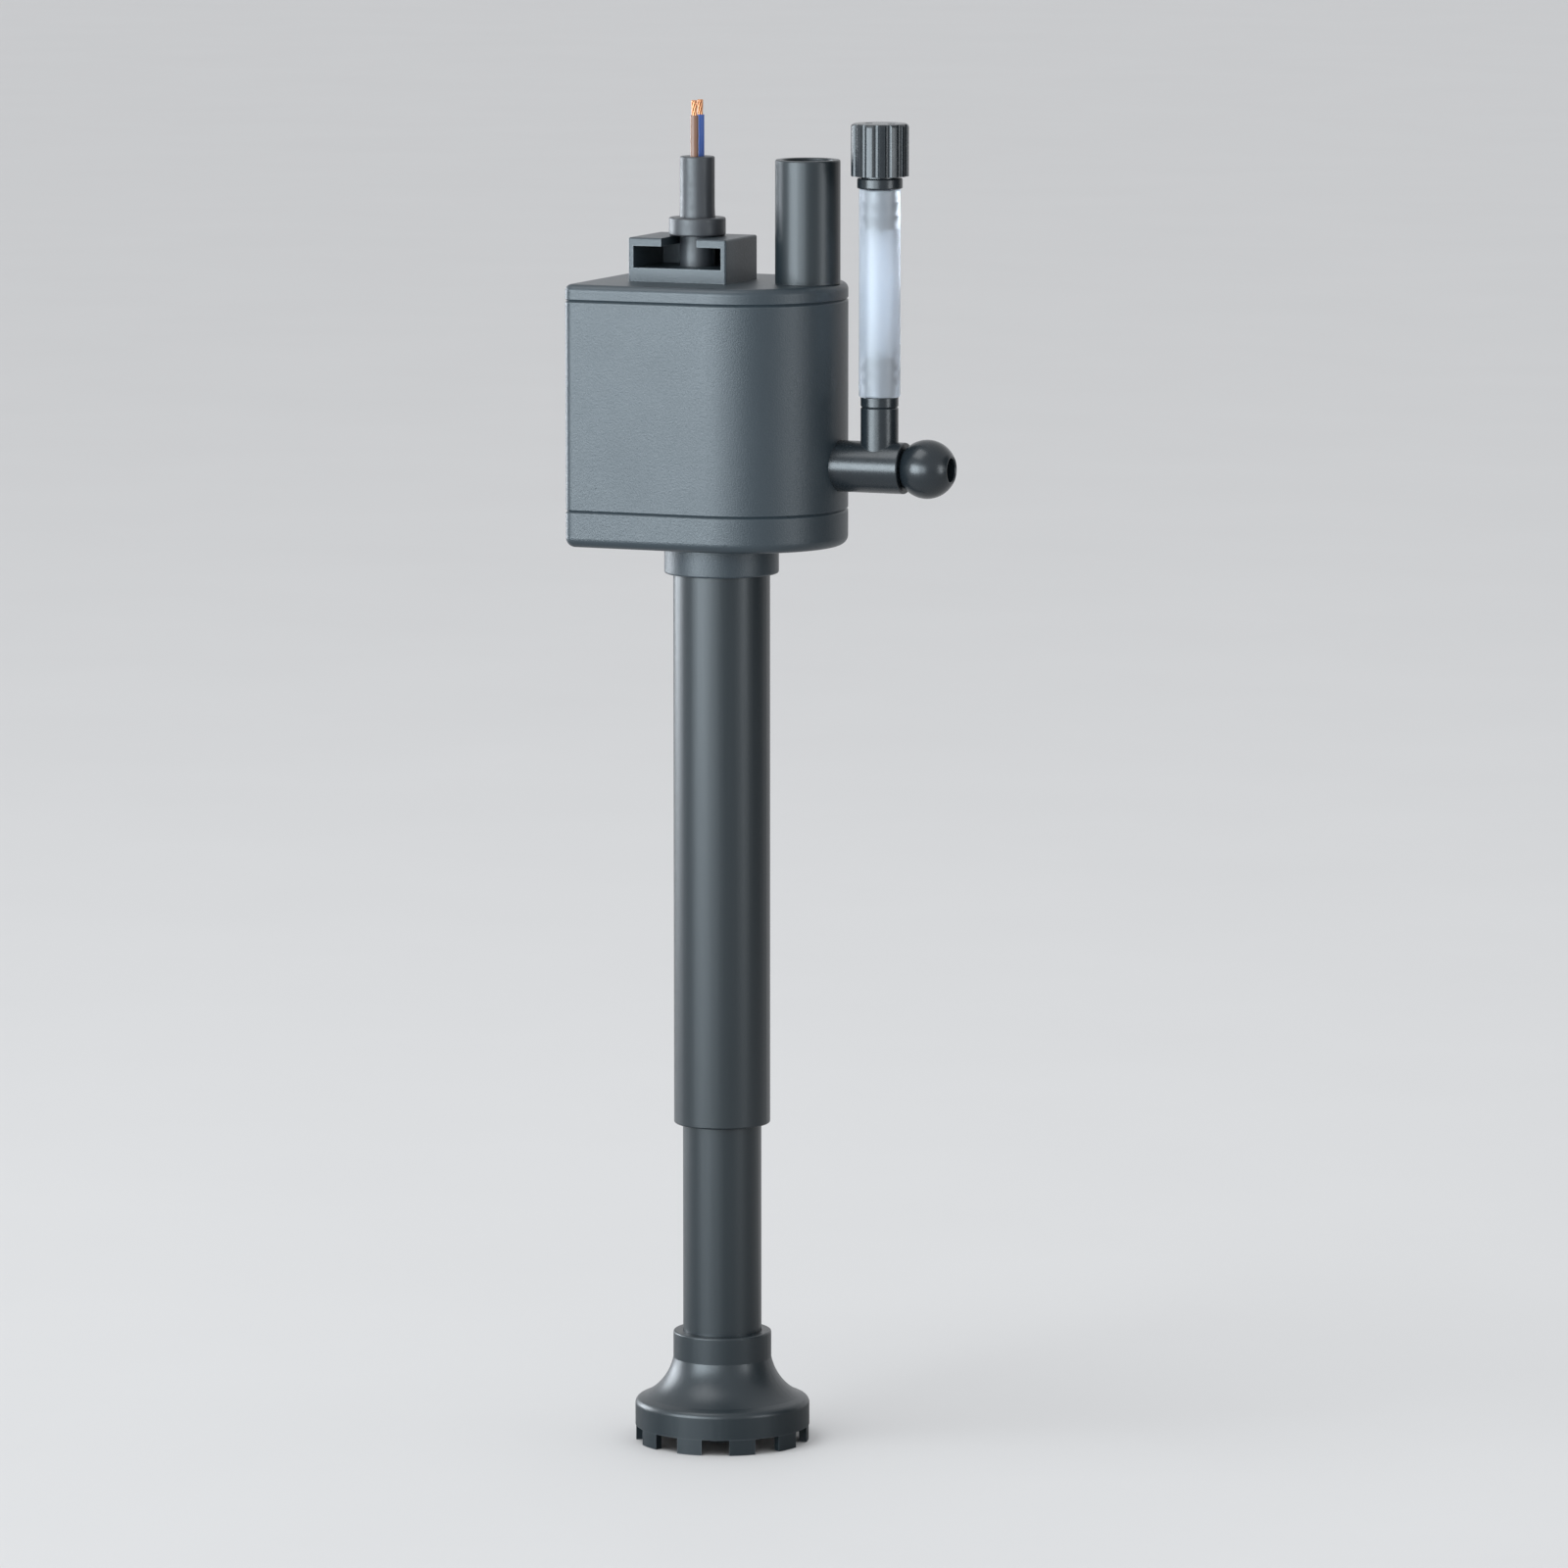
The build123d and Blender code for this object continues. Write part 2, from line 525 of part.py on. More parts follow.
with BuildPart() as air_nipple:
    plug_z, edge = AIR_SOCKET_Z + 0.1, 0.18
    turned_on_air([
        (0, plug_z), (AIR_SOCKET_R - GAP, plug_z), (AIR_SOCKET_R - GAP, AIR_SEAM_Z),
        (AIR_R - edge, AIR_SEAM_Z), (AIR_R, AIR_SEAM_Z + edge), (AIR_R, HOSE_Z - 0.1),
        (AIR_NECK_R, HOSE_Z - 0.1), *barb(AIR_NECK_R, HOSE_Z + BARB_LENGTH, 1),
        (0, HOSE_Z + BARB_LENGTH),
    ])
    post(AIR_X, 0, AIR_BORE_R, plug_z, HOSE_Z + BARB_LENGTH, Mode.SUBTRACT)

with BuildPart() as air_hose:
    post(AIR_X, 0, HOSE_R, HOSE_Z, HOSE_TOP_Z)
    post(AIR_X, 0, HOSE_BORE_R, HOSE_Z, HOSE_TOP_Z, Mode.SUBTRACT)
    fillet(air_hose.edges().filter_by(GeomType.CIRCLE), 0.12)

# The valve's body is a barb below, a shoulder on the hose and a stud that the knob turns on.
VALVE_Z = HOSE_TOP_Z + 0.1
SHOULDER_R = HOSE_R + 0.3
SHOULDER_TOP_Z = VALVE_Z + 1.5
STUD_R = 2.7
STUD_TOP_Z = VALVE_Z + 7.0
SEAT_Z = VALVE_Z + 3.0
KNOB_R = 4.2
KNOB_TOP_Z = STUD_TOP_Z + 2.4

with BuildPart() as air_valve_body:
    turned_on_air([
        (0, STUD_TOP_Z), (STUD_R, STUD_TOP_Z), (STUD_R, SHOULDER_TOP_Z),
        (SHOULDER_R, SHOULDER_TOP_Z), (SHOULDER_R, VALVE_Z), (AIR_NECK_R, VALVE_Z),
        *barb(AIR_NECK_R, HOSE_TOP_Z - BARB_LENGTH, -1), (0, HOSE_TOP_Z - BARB_LENGTH),
    ])
    shoulder_edges = air_valve_body.edges().filter_by(GeomType.CIRCLE).filter_by(
        lambda edge: edge.radius > STUD_R + 0.1
    )
    fillet(shoulder_edges, 0.2)
    turned_on_air([
        (0, 170), (AIR_BORE_R, 170), (AIR_BORE_R, SEAT_Z), (1.7, SEAT_Z + 1.0), (1.7, 200),
        (0, 200),
    ], Mode.SUBTRACT)

with BuildPart() as air_valve_knob:
    knob_z, hood_z = SHOULDER_TOP_Z + 0.3, STUD_TOP_Z + 0.6
    turned_on_air([
        (0, hood_z), (STUD_R + RUN, hood_z), (STUD_R + RUN, knob_z), (KNOB_R, knob_z),
        (KNOB_R, KNOB_TOP_Z), (0, KNOB_TOP_Z),
    ])
    fillet(air_valve_knob.edges().group_by(Axis.Z)[-1], 0.5)
    # Needle, grip flutes and two air holes beside the needle
    needle_r = 0.9
    turned_on_air([
        (0, SEAT_Z + 0.6), (needle_r, SEAT_Z + 1.6), (needle_r, hood_z + 0.4), (0, hood_z + 0.4),
    ])
    with BuildSketch(Plane.XY.offset(knob_z)):
        with Locations((AIR_X, 0)):
            with PolarLocations(KNOB_R + 0.35, 14):
                Circle(0.65)
    extrude(amount=KNOB_TOP_Z - knob_z, mode=Mode.SUBTRACT)
    for side in (-1, 1):
        post(AIR_X + side * 1.75, 0, 0.6, STUD_TOP_Z, KNOB_TOP_Z, Mode.SUBTRACT)

# ---------------------------------------------------------------- intake

# At rest the tubes are drawn out: the flange of the lower tube stands just above the stop.
STOP_Z = UPPER_BOTTOM_Z + GUIDE_LENGTH
FLANGE_Z = STOP_Z + 0.1
FLANGE_R = UPPER_BORE_R - RUN
RING_Z = FLANGE_Z + FLANGE_LENGTH / 2
RING_SECTION_R = 0.3

with BuildPart() as suction_tube_upper:
    turned([
        (LOWER_R + RUN, UPPER_BOTTOM_Z), (UPPER_R, UPPER_BOTTOM_Z), (UPPER_R, UPPER_TOP_Z),
        (UPPER_BORE_R, UPPER_TOP_Z), (UPPER_BORE_R, STOP_Z), (LOWER_R + RUN, STOP_Z),
    ])
    fillet(suction_tube_upper.faces().sort_by(Axis.Z)[0].edges(), 0.25)

with BuildPart() as suction_tube_lower:
    lower_bore_r, groove_r, groove_half = LOWER_R - LOWER_WALL, FLANGE_R - 0.59, 0.4
    turned([
        (lower_bore_r, LOWER_BOTTOM_Z), (LOWER_R, LOWER_BOTTOM_Z), (LOWER_R, FLANGE_Z),
        (FLANGE_R, FLANGE_Z), (FLANGE_R, RING_Z - groove_half), (groove_r, RING_Z - groove_half),
        (groove_r, RING_Z + groove_half), (FLANGE_R, RING_Z + groove_half),
        (FLANGE_R, FLANGE_Z + FLANGE_LENGTH), (lower_bore_r, FLANGE_Z + FLANGE_LENGTH),
    ])

with BuildPart() as tube_o_ring:
    with BuildSketch(Plane.XZ):
        with Locations((FLANGE_R - 0.28, RING_Z)):
            Circle(RING_SECTION_R)
    revolve(axis=Axis.Z)

with BuildPart() as strainer_bell:
    flare_z, skirt_z, skirt_bore_r = 12.4, 6.1, BELL_R - BELL_WALL
    shoulder = (11.5, 6.7)
    flare_mid, funnel_mid = (8.75, 9.05), (7.4, 7.3)
    with BuildSketch(Plane.XZ):
        with BuildLine():
            Polyline(
                (LOWER_R + GAP, LOWER_BOTTOM_Z), (LOWER_R + GAP, BELL_COLLAR_Z),
                (BELL_COLLAR_R, BELL_COLLAR_Z), (BELL_COLLAR_R, flare_z),
            )
            ThreePointArc((BELL_COLLAR_R, flare_z), flare_mid, shoulder)
            Polyline(
                shoulder, (BELL_R, skirt_z), (BELL_R, SLOT_HEIGHT),
                (BELL_R - TOOTH_SETBACK, SLOT_HEIGHT), (BELL_R - TOOTH_SETBACK, 0),
                (skirt_bore_r, 0), (skirt_bore_r, skirt_z - 0.9),
            )
            ThreePointArc(
                (skirt_bore_r, skirt_z - 0.9), funnel_mid, (lower_bore_r, LOWER_BOTTOM_Z),
            )
            Line((lower_bore_r, LOWER_BOTTOM_Z), (LOWER_R + GAP, LOWER_BOTTOM_Z))
        make_face()
    revolve(axis=Axis.Z)
    for radius, rounding in ((BELL_R, 1.0), (BELL_COLLAR_R, 0.3)):
        rims = strainer_bell.edges().filter_by(GeomType.CIRCLE).filter_by(
            lambda edge: abs(edge.radius - radius) < 0.01
        )
        fillet(rims.sort_by(Axis.Z)[-1], rounding)
    with BuildSketch():
        with PolarLocations(BELL_R, SLOT_COUNT):
            Rectangle(3 * BELL_WALL, SLOT_WIDTH)
    extrude(amount=SLOT_HEIGHT, mode=Mode.SUBTRACT)

GRID_Z = 2.5
GRID_TOP_Z = 3.7
RIB_WIDTH = 1.1
FOOT_PAD_R = 3.0

with BuildPart() as strainer_grid:
    rim_r, hoop_r = skirt_bore_r - GAP, 7.6
    rib_length = rim_r - RIB_WIDTH / 2
    with BuildSketch(Plane.XY.offset(GRID_Z)):
        for ring_r in (rim_r, hoop_r):
            Circle(ring_r)
            Circle(ring_r - RIB_WIDTH, mode=Mode.SUBTRACT)
        with PolarLocations(rib_length / 2, 6):
            Rectangle(rib_length, RIB_WIDTH)
    extrude(amount=GRID_TOP_Z - GRID_Z)
    post(0, 0, FOOT_PAD_R, 0, GRID_TOP_Z)

with BuildPart() as strainer_sponge:
    sponge_z = GRID_TOP_Z + 0.1
    post(0, 0, 8.0, sponge_z, sponge_z + 2.8)
    fillet(strainer_sponge.edges(), 0.6)

# ---------------------------------------------------------------- mounting

CHANNEL_DEPTH = 1.7
SHEET = 1.2

with BuildPart() as cup_bracket:
    bracket_z, bracket_top_z, bracket_width = 141.0, 168.0, 12.4
    outer_y = BACK_Y + CHANNEL_DEPTH + SHEET
    block(CUP_X, (BACK_Y + outer_y) / 2, bracket_width, CHANNEL_DEPTH + SHEET,
          bracket_z, bracket_top_z)
    fillet(cup_bracket.edges().filter_by(Axis.Z).group_by(Axis.Y)[-1], 0.5)
    fillet(cup_bracket.faces().sort_by(Axis.Y)[-1].edges(), 0.3)
    block(CUP_X, BACK_Y + CHANNEL_DEPTH / 2, bracket_width - 2 * SHEET, CHANNEL_DEPTH,
          bracket_z, bracket_top_z, Mode.SUBTRACT)
    # Keyholes: the round end lets the knob in, the slot above holds the neck
    keyhole_r, neck_hole_r, drop = 2.6, 1.5, 4.2
    with BuildSketch(Plane.XZ.offset(-BACK_Y - CHANNEL_DEPTH)):
        for level in CUP_LEVELS:
            with Locations((CUP_X, level - drop)):
                Circle(keyhole_r)
            with Locations((CUP_X, level - drop / 2)):
                Rectangle(2 * neck_hole_r, drop)
            with Locations((CUP_X, level)):
                Circle(neck_hole_r)
    extrude(amount=-SHEET, mode=Mode.SUBTRACT)

with BuildPart() as suction_cups:
    knob_y, neck_y, disc_y = BACK_Y + 0.2, BACK_Y + 1.5, outer_y + 0.1
    hollow_y = CUP_FACE_Y - 1.7
    for level in CUP_LEVELS:
        with BuildSketch(Plane.XY.offset(level)) as half_section:
            with BuildLine():
                Polyline(
                    (CUP_X, knob_y), (CUP_X + 2.4, knob_y), (CUP_X + 2.4, neck_y),
                    (CUP_X + 1.4, neck_y), (CUP_X + 1.4, disc_y), (CUP_X + 2.6, disc_y),
                )
                ThreePointArc(
                    (CUP_X + 2.6, disc_y), (CUP_X + 5.6, disc_y + 1.1),
                    (CUP_X + CUP_R, CUP_FACE_Y - 0.3),
                )
                Polyline(
                    (CUP_X + CUP_R, CUP_FACE_Y - 0.3), (CUP_X + CUP_R, CUP_FACE_Y),
                    (CUP_X + CUP_R - 0.8, CUP_FACE_Y),
                )
                TangentArc(
                    (CUP_X, hollow_y), (CUP_X + CUP_R - 0.8, CUP_FACE_Y), tangent=(1, 0),
                )
                Line((CUP_X, hollow_y), (CUP_X, knob_y))
            make_face()
        revolve(half_section.sketch, axis=Axis((CUP_X, 0, level), (0, 1, 0)))

# ---------------------------------------------------------------- files

PIECES = {
    "motor_housing": motor_housing, "top_cover": top_cover, "base_cover": base_cover,
    "chamber_plate": chamber_plate, "chamber_o_ring": chamber_o_ring,
    "lower_bush": lower_bush, "upper_bush": upper_bush, "ceramic_shaft": ceramic_shaft,
    "rotor_magnet": rotor_magnet, "impeller": impeller, "stator_core": stator_core,
    "coil_bobbin": coil_bobbin, "coil_winding": coil_winding, "potting_cap": potting_cap,
    "cord_conductors": cord_conductors, "power_cord": power_cord, "cord_collar": cord_collar,
    "outlet_riser": outlet_riser, "venturi_tee": venturi_tee, "tee_o_ring": tee_o_ring,
    "swivel_stem": swivel_stem, "ball_nozzle": ball_nozzle, "air_nipple": air_nipple,
    "air_hose": air_hose, "air_valve_body": air_valve_body, "air_valve_knob": air_valve_knob,
    "suction_tube_upper": suction_tube_upper, "suction_tube_lower": suction_tube_lower,
    "tube_o_ring": tube_o_ring, "strainer_bell": strainer_bell, "strainer_grid": strainer_grid,
    "strainer_sponge": strainer_sponge, "cup_bracket": cup_bracket, "suction_cups": suction_cups,
}

os.makedirs("parts", exist_ok=True)
for name, piece in PIECES.items():
    piece.part.label = name
    export_step(piece.part, f"parts/{name}.step")
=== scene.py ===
import json
import math
import random

import bmesh
import bpy
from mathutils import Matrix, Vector, kdtree


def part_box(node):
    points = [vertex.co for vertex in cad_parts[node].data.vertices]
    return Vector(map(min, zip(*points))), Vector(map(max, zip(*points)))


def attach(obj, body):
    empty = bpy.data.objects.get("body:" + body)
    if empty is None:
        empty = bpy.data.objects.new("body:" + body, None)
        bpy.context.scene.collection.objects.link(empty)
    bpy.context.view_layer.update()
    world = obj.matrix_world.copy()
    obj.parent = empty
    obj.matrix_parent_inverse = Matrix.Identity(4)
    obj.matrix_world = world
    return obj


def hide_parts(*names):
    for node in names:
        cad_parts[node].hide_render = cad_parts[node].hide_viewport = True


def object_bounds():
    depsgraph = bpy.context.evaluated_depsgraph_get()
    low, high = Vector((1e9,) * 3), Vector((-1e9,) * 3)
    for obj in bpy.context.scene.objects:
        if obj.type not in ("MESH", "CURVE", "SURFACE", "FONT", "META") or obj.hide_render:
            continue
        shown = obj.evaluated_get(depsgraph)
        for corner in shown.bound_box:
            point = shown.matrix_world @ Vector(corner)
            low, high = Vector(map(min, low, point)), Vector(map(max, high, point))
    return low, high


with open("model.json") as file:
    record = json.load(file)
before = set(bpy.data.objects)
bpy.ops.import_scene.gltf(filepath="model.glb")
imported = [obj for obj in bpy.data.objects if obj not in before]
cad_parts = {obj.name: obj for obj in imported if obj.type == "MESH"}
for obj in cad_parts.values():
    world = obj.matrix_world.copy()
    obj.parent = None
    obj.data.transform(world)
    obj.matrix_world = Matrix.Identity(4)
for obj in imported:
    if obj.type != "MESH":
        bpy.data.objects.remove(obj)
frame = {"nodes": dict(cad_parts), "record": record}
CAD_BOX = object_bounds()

# Internal power filter: looks built around the CAD frame. Metres, +Z up, spout along +X.
MM = 0.001
NODES = frame["nodes"]
AXIS_Z = Vector((0, 0, 1))
AXIS_Y = Vector((0, 1, 0))


# ---------------------------------------------------------------- node materials

class Look:
    """A Principled material and short calls that build its node graph."""

    def __init__(self, name, roughness=0.5, **inputs):
        self.material = bpy.data.materials.new(name)
        self.material.use_nodes = True
        self.nodes = self.material.node_tree.nodes
        self.links = self.material.node_tree.links
        self.bsdf = self.nodes["Principled BSDF"]
        self.output = self.nodes["Material Output"]
        self.bsdf.inputs["Roughness"].default_value = roughness
        for label, value in inputs.items():
            self.bsdf.inputs[label.replace("_", " ")].default_value = value
        self.coordinates = self.add("ShaderNodeTexCoord").outputs["Object"]

    def add(self, kind, **settings):
        """A new node of a kind, with its settings."""
        node = self.nodes.new(kind)
        for label, value in settings.items():
            setattr(node, label, value)
        return node

    def feed(self, node, label, value):
        """Sets an input, or links it if the value is another node's output."""
        socket = node.inputs[label]
        if isinstance(value, bpy.types.NodeSocket):
            self.links.new(value, socket)
        else:
            socket.default_value = value
        return node

    def stretched(self, stretch):
        """Object coordinates scaled along each axis."""
        mapping = self.add("ShaderNodeMapping")
        self.feed(mapping, "Vector", self.coordinates)
        self.feed(mapping, "Scale", stretch)
        return mapping.outputs["Vector"]

    def noise(self, size, detail=3.0, stretch=(1, 1, 1), rough=0.55):
        """Noise from 0 to 1 whose features are about size metres across."""
        node = self.add("ShaderNodeTexNoise")
        self.feed(node, "Vector", self.stretched(stretch))
        self.feed(node, "Scale", 1 / size)
        self.feed(node, "Detail", detail)
        self.feed(node, "Roughness", rough)
        return node.outputs["Fac"]

    def cells(self, size):
        """Distance to the nearest of random points that are about size metres apart."""
        node = self.add("ShaderNodeTexVoronoi")
        self.feed(node, "Vector", self.coordinates)
        self.feed(node, "Scale", 1 / size)
        return node.outputs["Distance"]

    def remap(self, value, low, high, to_low, to_high):
        """Stretches low..high to to_low..to_high and holds the value at the ends."""
        node = self.add("ShaderNodeMapRange")
        self.feed(node, "Value", value)
        self.feed(node, "From Min", low)
        self.feed(node, "From Max", high)
        self.feed(node, "To Min", to_low)
        self.feed(node, "To Max", to_high)
        return node.outputs["Result"]

    def math(self, operation, a, b=0.0):
        """One step of arithmetic on two numbers or outputs."""
        node = self.add("ShaderNodeMath", operation=operation)
        for index, value in enumerate((a, b)):
            if isinstance(value, bpy.types.NodeSocket):
                self.links.new(value, node.inputs[index])
            else:
                node.inputs[index].default_value = value
        return node.outputs["Value"]

    def blend(self, factor, first, second):
        """Mixes two colours, given as RGB or as another node's output."""
        node = self.add("ShaderNodeMix", data_type="RGBA")
        self.links.new(factor, node.inputs["Factor"])
        for label, value in (("A", first), ("B", second)):
            socket = next(s for s in node.inputs if s.name == label and s.type == "RGBA")
            if isinstance(value, bpy.types.NodeSocket):
                self.links.new(value, socket)
            else:
                socket.default_value = (*value, 1)
        return next(s for s in node.outputs if s.type == "RGBA")

    def bump(self, height, depth, strength=1.0, under=None):
        """A bump of the given depth in metres, stacked on another bump's normal if there is one."""
        node = self.add("ShaderNodeBump")
        self.feed(node, "Height", height)
        self.feed(node, "Distance", depth)
        self.feed(node, "Strength", strength)
        if under is not None:
            self.links.new(under, node.inputs["Normal"])
        return node.outputs["Normal"]

    def edge_mask(self, radius):
        """1 near convex or concave edges, 0 on open faces."""
        bevel = self.add("ShaderNodeBevel", samples=4)
        self.feed(bevel, "Radius", radius)
        geometry = self.add("ShaderNodeNewGeometry")
        dot = self.add("ShaderNodeVectorMath", operation="DOT_PRODUCT")
        self.links.new(bevel.outputs["Normal"], dot.inputs[0])
        self.links.new(geometry.outputs["Normal"], dot.inputs[1])
        return self.remap(dot.outputs["Value"], 0.98, 0.8, 0.0, 1.0)

    def finish(self, color=None, roughness=None, normal=None):
        """Links the results to the Principled node and returns the material."""
        if color is not None:
            self.links.new(color, self.bsdf.inputs["Base Color"])
        if roughness is not None:
            self.links.new(roughness, self.bsdf.inputs["Roughness"])
        if normal is not None:
            self.links.new(normal, self.bsdf.inputs["Normal"])
        return self.material


def case_plastic():
    """Satin blue-black case with a fine spark-eroded grain and slightly polished edges; its colour
    is lightened along edges as a painted highlight.
    """
    look = Look("case_plastic", Specular_IOR_Level=0.48)
    cloud = look.noise(26 * MM, detail=3)
    grain = look.noise(0.24 * MM, detail=2, rough=0.7)
    edge = look.edge_mask(0.3 * MM)
    base = look.blend(cloud, (0.012, 0.019, 0.024), (0.015, 0.023, 0.029))
    # Painted highlight: the colour is lightened along edges and creases, while the lower roughness
    # there stands for polish
    base = look.blend(look.math("MULTIPLY", edge, 0.4), base, (0.07, 0.085, 0.095))
    rough = look.remap(look.noise(7 * MM, detail=4), 0.3, 0.7, 0.395, 0.415)
    rough = look.math("SUBTRACT", rough, look.math("MULTIPLY", edge, 0.08))
    rough = look.math("ADD", rough, look.remap(grain, 0.3, 0.7, -0.03, 0.03))
    return look.finish(base, rough, look.bump(grain, 0.045 * MM, 0.7))


def tube_plastic():
    """Extruded black tube: faint lines along its length and a softer grain."""
    look = Look("tube_plastic", Specular_IOR_Level=0.40)
    lines = look.noise(0.45 * MM, detail=2, stretch=(1, 1, 0.015))
    cloud = look.noise(14 * MM, detail=3, stretch=(1, 1, 0.35))
    grain = look.noise(0.22 * MM, detail=2)
    base = look.blend(cloud, (0.007, 0.011, 0.013), (0.011, 0.015, 0.018))
    # Painted highlight: the colour is lightened along edges and creases
    base = look.blend(look.math("MULTIPLY", look.edge_mask(0.22 * MM), 0.5), base,
                      (0.07, 0.078, 0.085))
    rough = look.remap(lines, 0.3, 0.7, 0.33, 0.38)
    normal = look.bump(lines, 0.012 * MM, 0.5)
    return look.finish(base, rough, look.bump(grain, 0.010 * MM, 0.5, under=normal))


def fitting_plastic():
    """Semi-gloss moulded fittings."""
    look = Look("fitting_plastic", Specular_IOR_Level=0.42)
    cloud = look.noise(6 * MM, detail=3)
    grain = look.noise(0.16 * MM, detail=2)
    base = look.blend(cloud, (0.006, 0.009, 0.011), (0.009, 0.012, 0.015))
    # Painted highlight: the colour is lightened along edges and creases
    base = look.blend(look.math("MULTIPLY", look.edge_mask(0.18 * MM), 0.5), base,
                      (0.06, 0.066, 0.072))
    rough = look.remap(look.noise(1.2 * MM, detail=4), 0.3, 0.7, 0.25, 0.30)
    return look.finish(base, rough, look.bump(grain, 0.002 * MM, 0.4))


def inner_plastic():
    """Natural white moulded plastic of the impeller and bobbin."""
    look = Look("inner_plastic", Subsurface_Weight=0.15, Subsurface_Scale=1.0 * MM)
    cloud = look.noise(2.5 * MM, detail=4)
    base = look.blend(cloud, (0.62, 0.62, 0.58), (0.74, 0.74, 0.70))
    rough = look.remap(cloud, 0.3, 0.7, 0.36, 0.48)
    return look.finish(base, rough, look.bump(look.noise(0.2 * MM), 0.01 * MM, 0.5))


def soft_hose():
    """Milky soft hose: even skin outside, hazy bore, so that the barb shows as a grey core."""
    look = Look("soft_hose", Transmission_Weight=0.80, IOR=1.42)
    geometry = look.add("ShaderNodeNewGeometry")
    cloud = look.noise(5 * MM, detail=3)
    base = look.blend(cloud, (0.66, 0.71, 0.78), (0.72, 0.76, 0.82))
    haze = look.remap(cloud, 0.3, 0.7, 0.34, 0.42)
    rough = look.math("MAXIMUM", haze, look.math("MULTIPLY", geometry.outputs["Backfacing"], 0.55))
    return look.finish(base, rough, look.bump(cloud, 0.02 * MM, 0.3))


def cup_rubber():
    """Soft black rubber of the suction cups, smoother where it seals and a little dusty."""
    look = Look("cup_rubber", IOR=1.45)
    cloud = look.noise(3 * MM, detail=4)
    base = look.blend(cloud, (0.016, 0.018, 0.020), (0.030, 0.033, 0.036))
    rough = look.remap(look.noise(0.9 * MM), 0.3, 0.7, 0.30, 0.40)
    return look.finish(base, rough, look.bump(look.noise(0.4 * MM), 0.006 * MM, 0.5))


def seal_rubber():
    """Matte black nitrile with a little bloom."""
    look = Look("seal_rubber")
    base = look.blend(look.noise(0.8 * MM, detail=5), (0.012, 0.012, 0.013), (0.03, 0.03, 0.031))
    rough = look.remap(look.noise(0.4 * MM), 0.3, 0.7, 0.55, 0.7)
    return look.finish(base, rough, look.bump(look.noise(0.1 * MM), 0.01 * MM, 0.6))


def cord_jacket():
    """Satin rubber cord with drawn lines along it."""
    look = Look("cord_jacket")
    lines = look.noise(0.3 * MM, detail=3, stretch=(1, 1, 0.04))
    base = look.blend(lines, (0.016, 0.018, 0.021), (0.030, 0.032, 0.036))
    rough = look.remap(look.noise(0.9 * MM, detail=4), 0.3, 0.7, 0.38, 0.5)
    return look.finish(base, rough, look.bump(lines, 0.02 * MM, 0.5))


def core_insulation():
    """Brown core on one side of the cord's middle plane and blue on the other."""
    look = Look("core_insulation")
    split = look.add("ShaderNodeSeparateXYZ")
    look.links.new(look.coordinates, split.inputs[0])
    low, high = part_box("power_cord")
    middle = (low.y + high.y) / 2
    side = look.math("GREATER_THAN", split.outputs["Y"], middle)
    color = look.blend(side, (0.12, 0.045, 0.018), (0.015, 0.07, 0.30))
    cloud = look.noise(1.5 * MM, detail=4)
    dusty = look.blend(look.math("MULTIPLY", cloud, 0.12), color, (0.3, 0.3, 0.3))
    rough = look.remap(cloud, 0.3, 0.7, 0.34, 0.46)
    return look.finish(dusty, rough, look.bump(look.noise(0.15 * MM), 0.008 * MM, 0.5))


def magnet_ferrite():
    """Dark sintered ferrite with tiny pits."""
    look = Look("magnet_ferrite")
    specks = look.cells(0.35 * MM)
    base = look.blend(look.noise(0.25 * MM, detail=5), (0.035, 0.035, 0.038), (0.085, 0.085, 0.09))
    rough = look.remap(specks, 0.0, 0.6, 0.62, 0.42)
    return look.finish(base, rough, look.bump(specks, 0.03 * MM, 0.5))


def shaft_ceramic():
    """Ground white ceramic with rings left by grinding."""
    look = Look("shaft_ceramic", Coat_Weight=0.3)
    rings = look.noise(0.15 * MM, detail=2, stretch=(0.02, 0.02, 1))
    base = look.blend(look.noise(1 * MM), (0.80, 0.79, 0.74), (0.88, 0.87, 0.83))
    rough = look.remap(rings, 0.3, 0.7, 0.16, 0.28)
    return look.finish(base, rough, look.bump(rings, 0.004 * MM, 0.5))


def core_steel():
    """Edges of half-millimetre steel sheets, blued here and there."""
    look = Look("core_steel", Metallic=1.0)
    wave = look.add("ShaderNodeTexWave", wave_type="BANDS", bands_direction="Z")
    look.feed(wave, "Vector", look.coordinates)
    look.feed(wave, "Scale", 1 / (0.5 * MM) / math.tau)
    look.feed(wave, "Distortion", 0.3)
    sheets = wave.outputs["Fac"]
    tint = look.blend(look.noise(4 * MM, detail=4), (0.36, 0.37, 0.40), (0.52, 0.50, 0.47))
    base = look.blend(look.math("MULTIPLY", sheets, 0.5), (0.16, 0.16, 0.17), tint)
    rough = look.remap(look.noise(0.3 * MM), 0.3, 0.7, 0.3, 0.5)
    return look.finish(base, rough, look.bump(sheets, 0.06 * MM, 0.7))


def copper_wire():
    """Enamelled copper turns laid side by side around the yoke."""
    look = Look("copper_wire", Metallic=1.0, Coat_Weight=0.5)
    wave = look.add("ShaderNodeTexWave", wave_type="BANDS", bands_direction="Y")
    look.feed(wave, "Vector", look.coordinates)
    look.feed(wave, "Scale", 1 / (0.25 * MM) / math.tau)
    look.feed(wave, "Distortion", 0.6)
    turns = wave.outputs["Fac"]
    base = look.blend(turns, (0.30, 0.10, 0.04), (0.72, 0.32, 0.14))
    rough = look.remap(look.noise(0.6 * MM), 0.3, 0.7, 0.22, 0.36)
    return look.finish(base, rough, look.bump(turns, 0.08 * MM, 0.8))


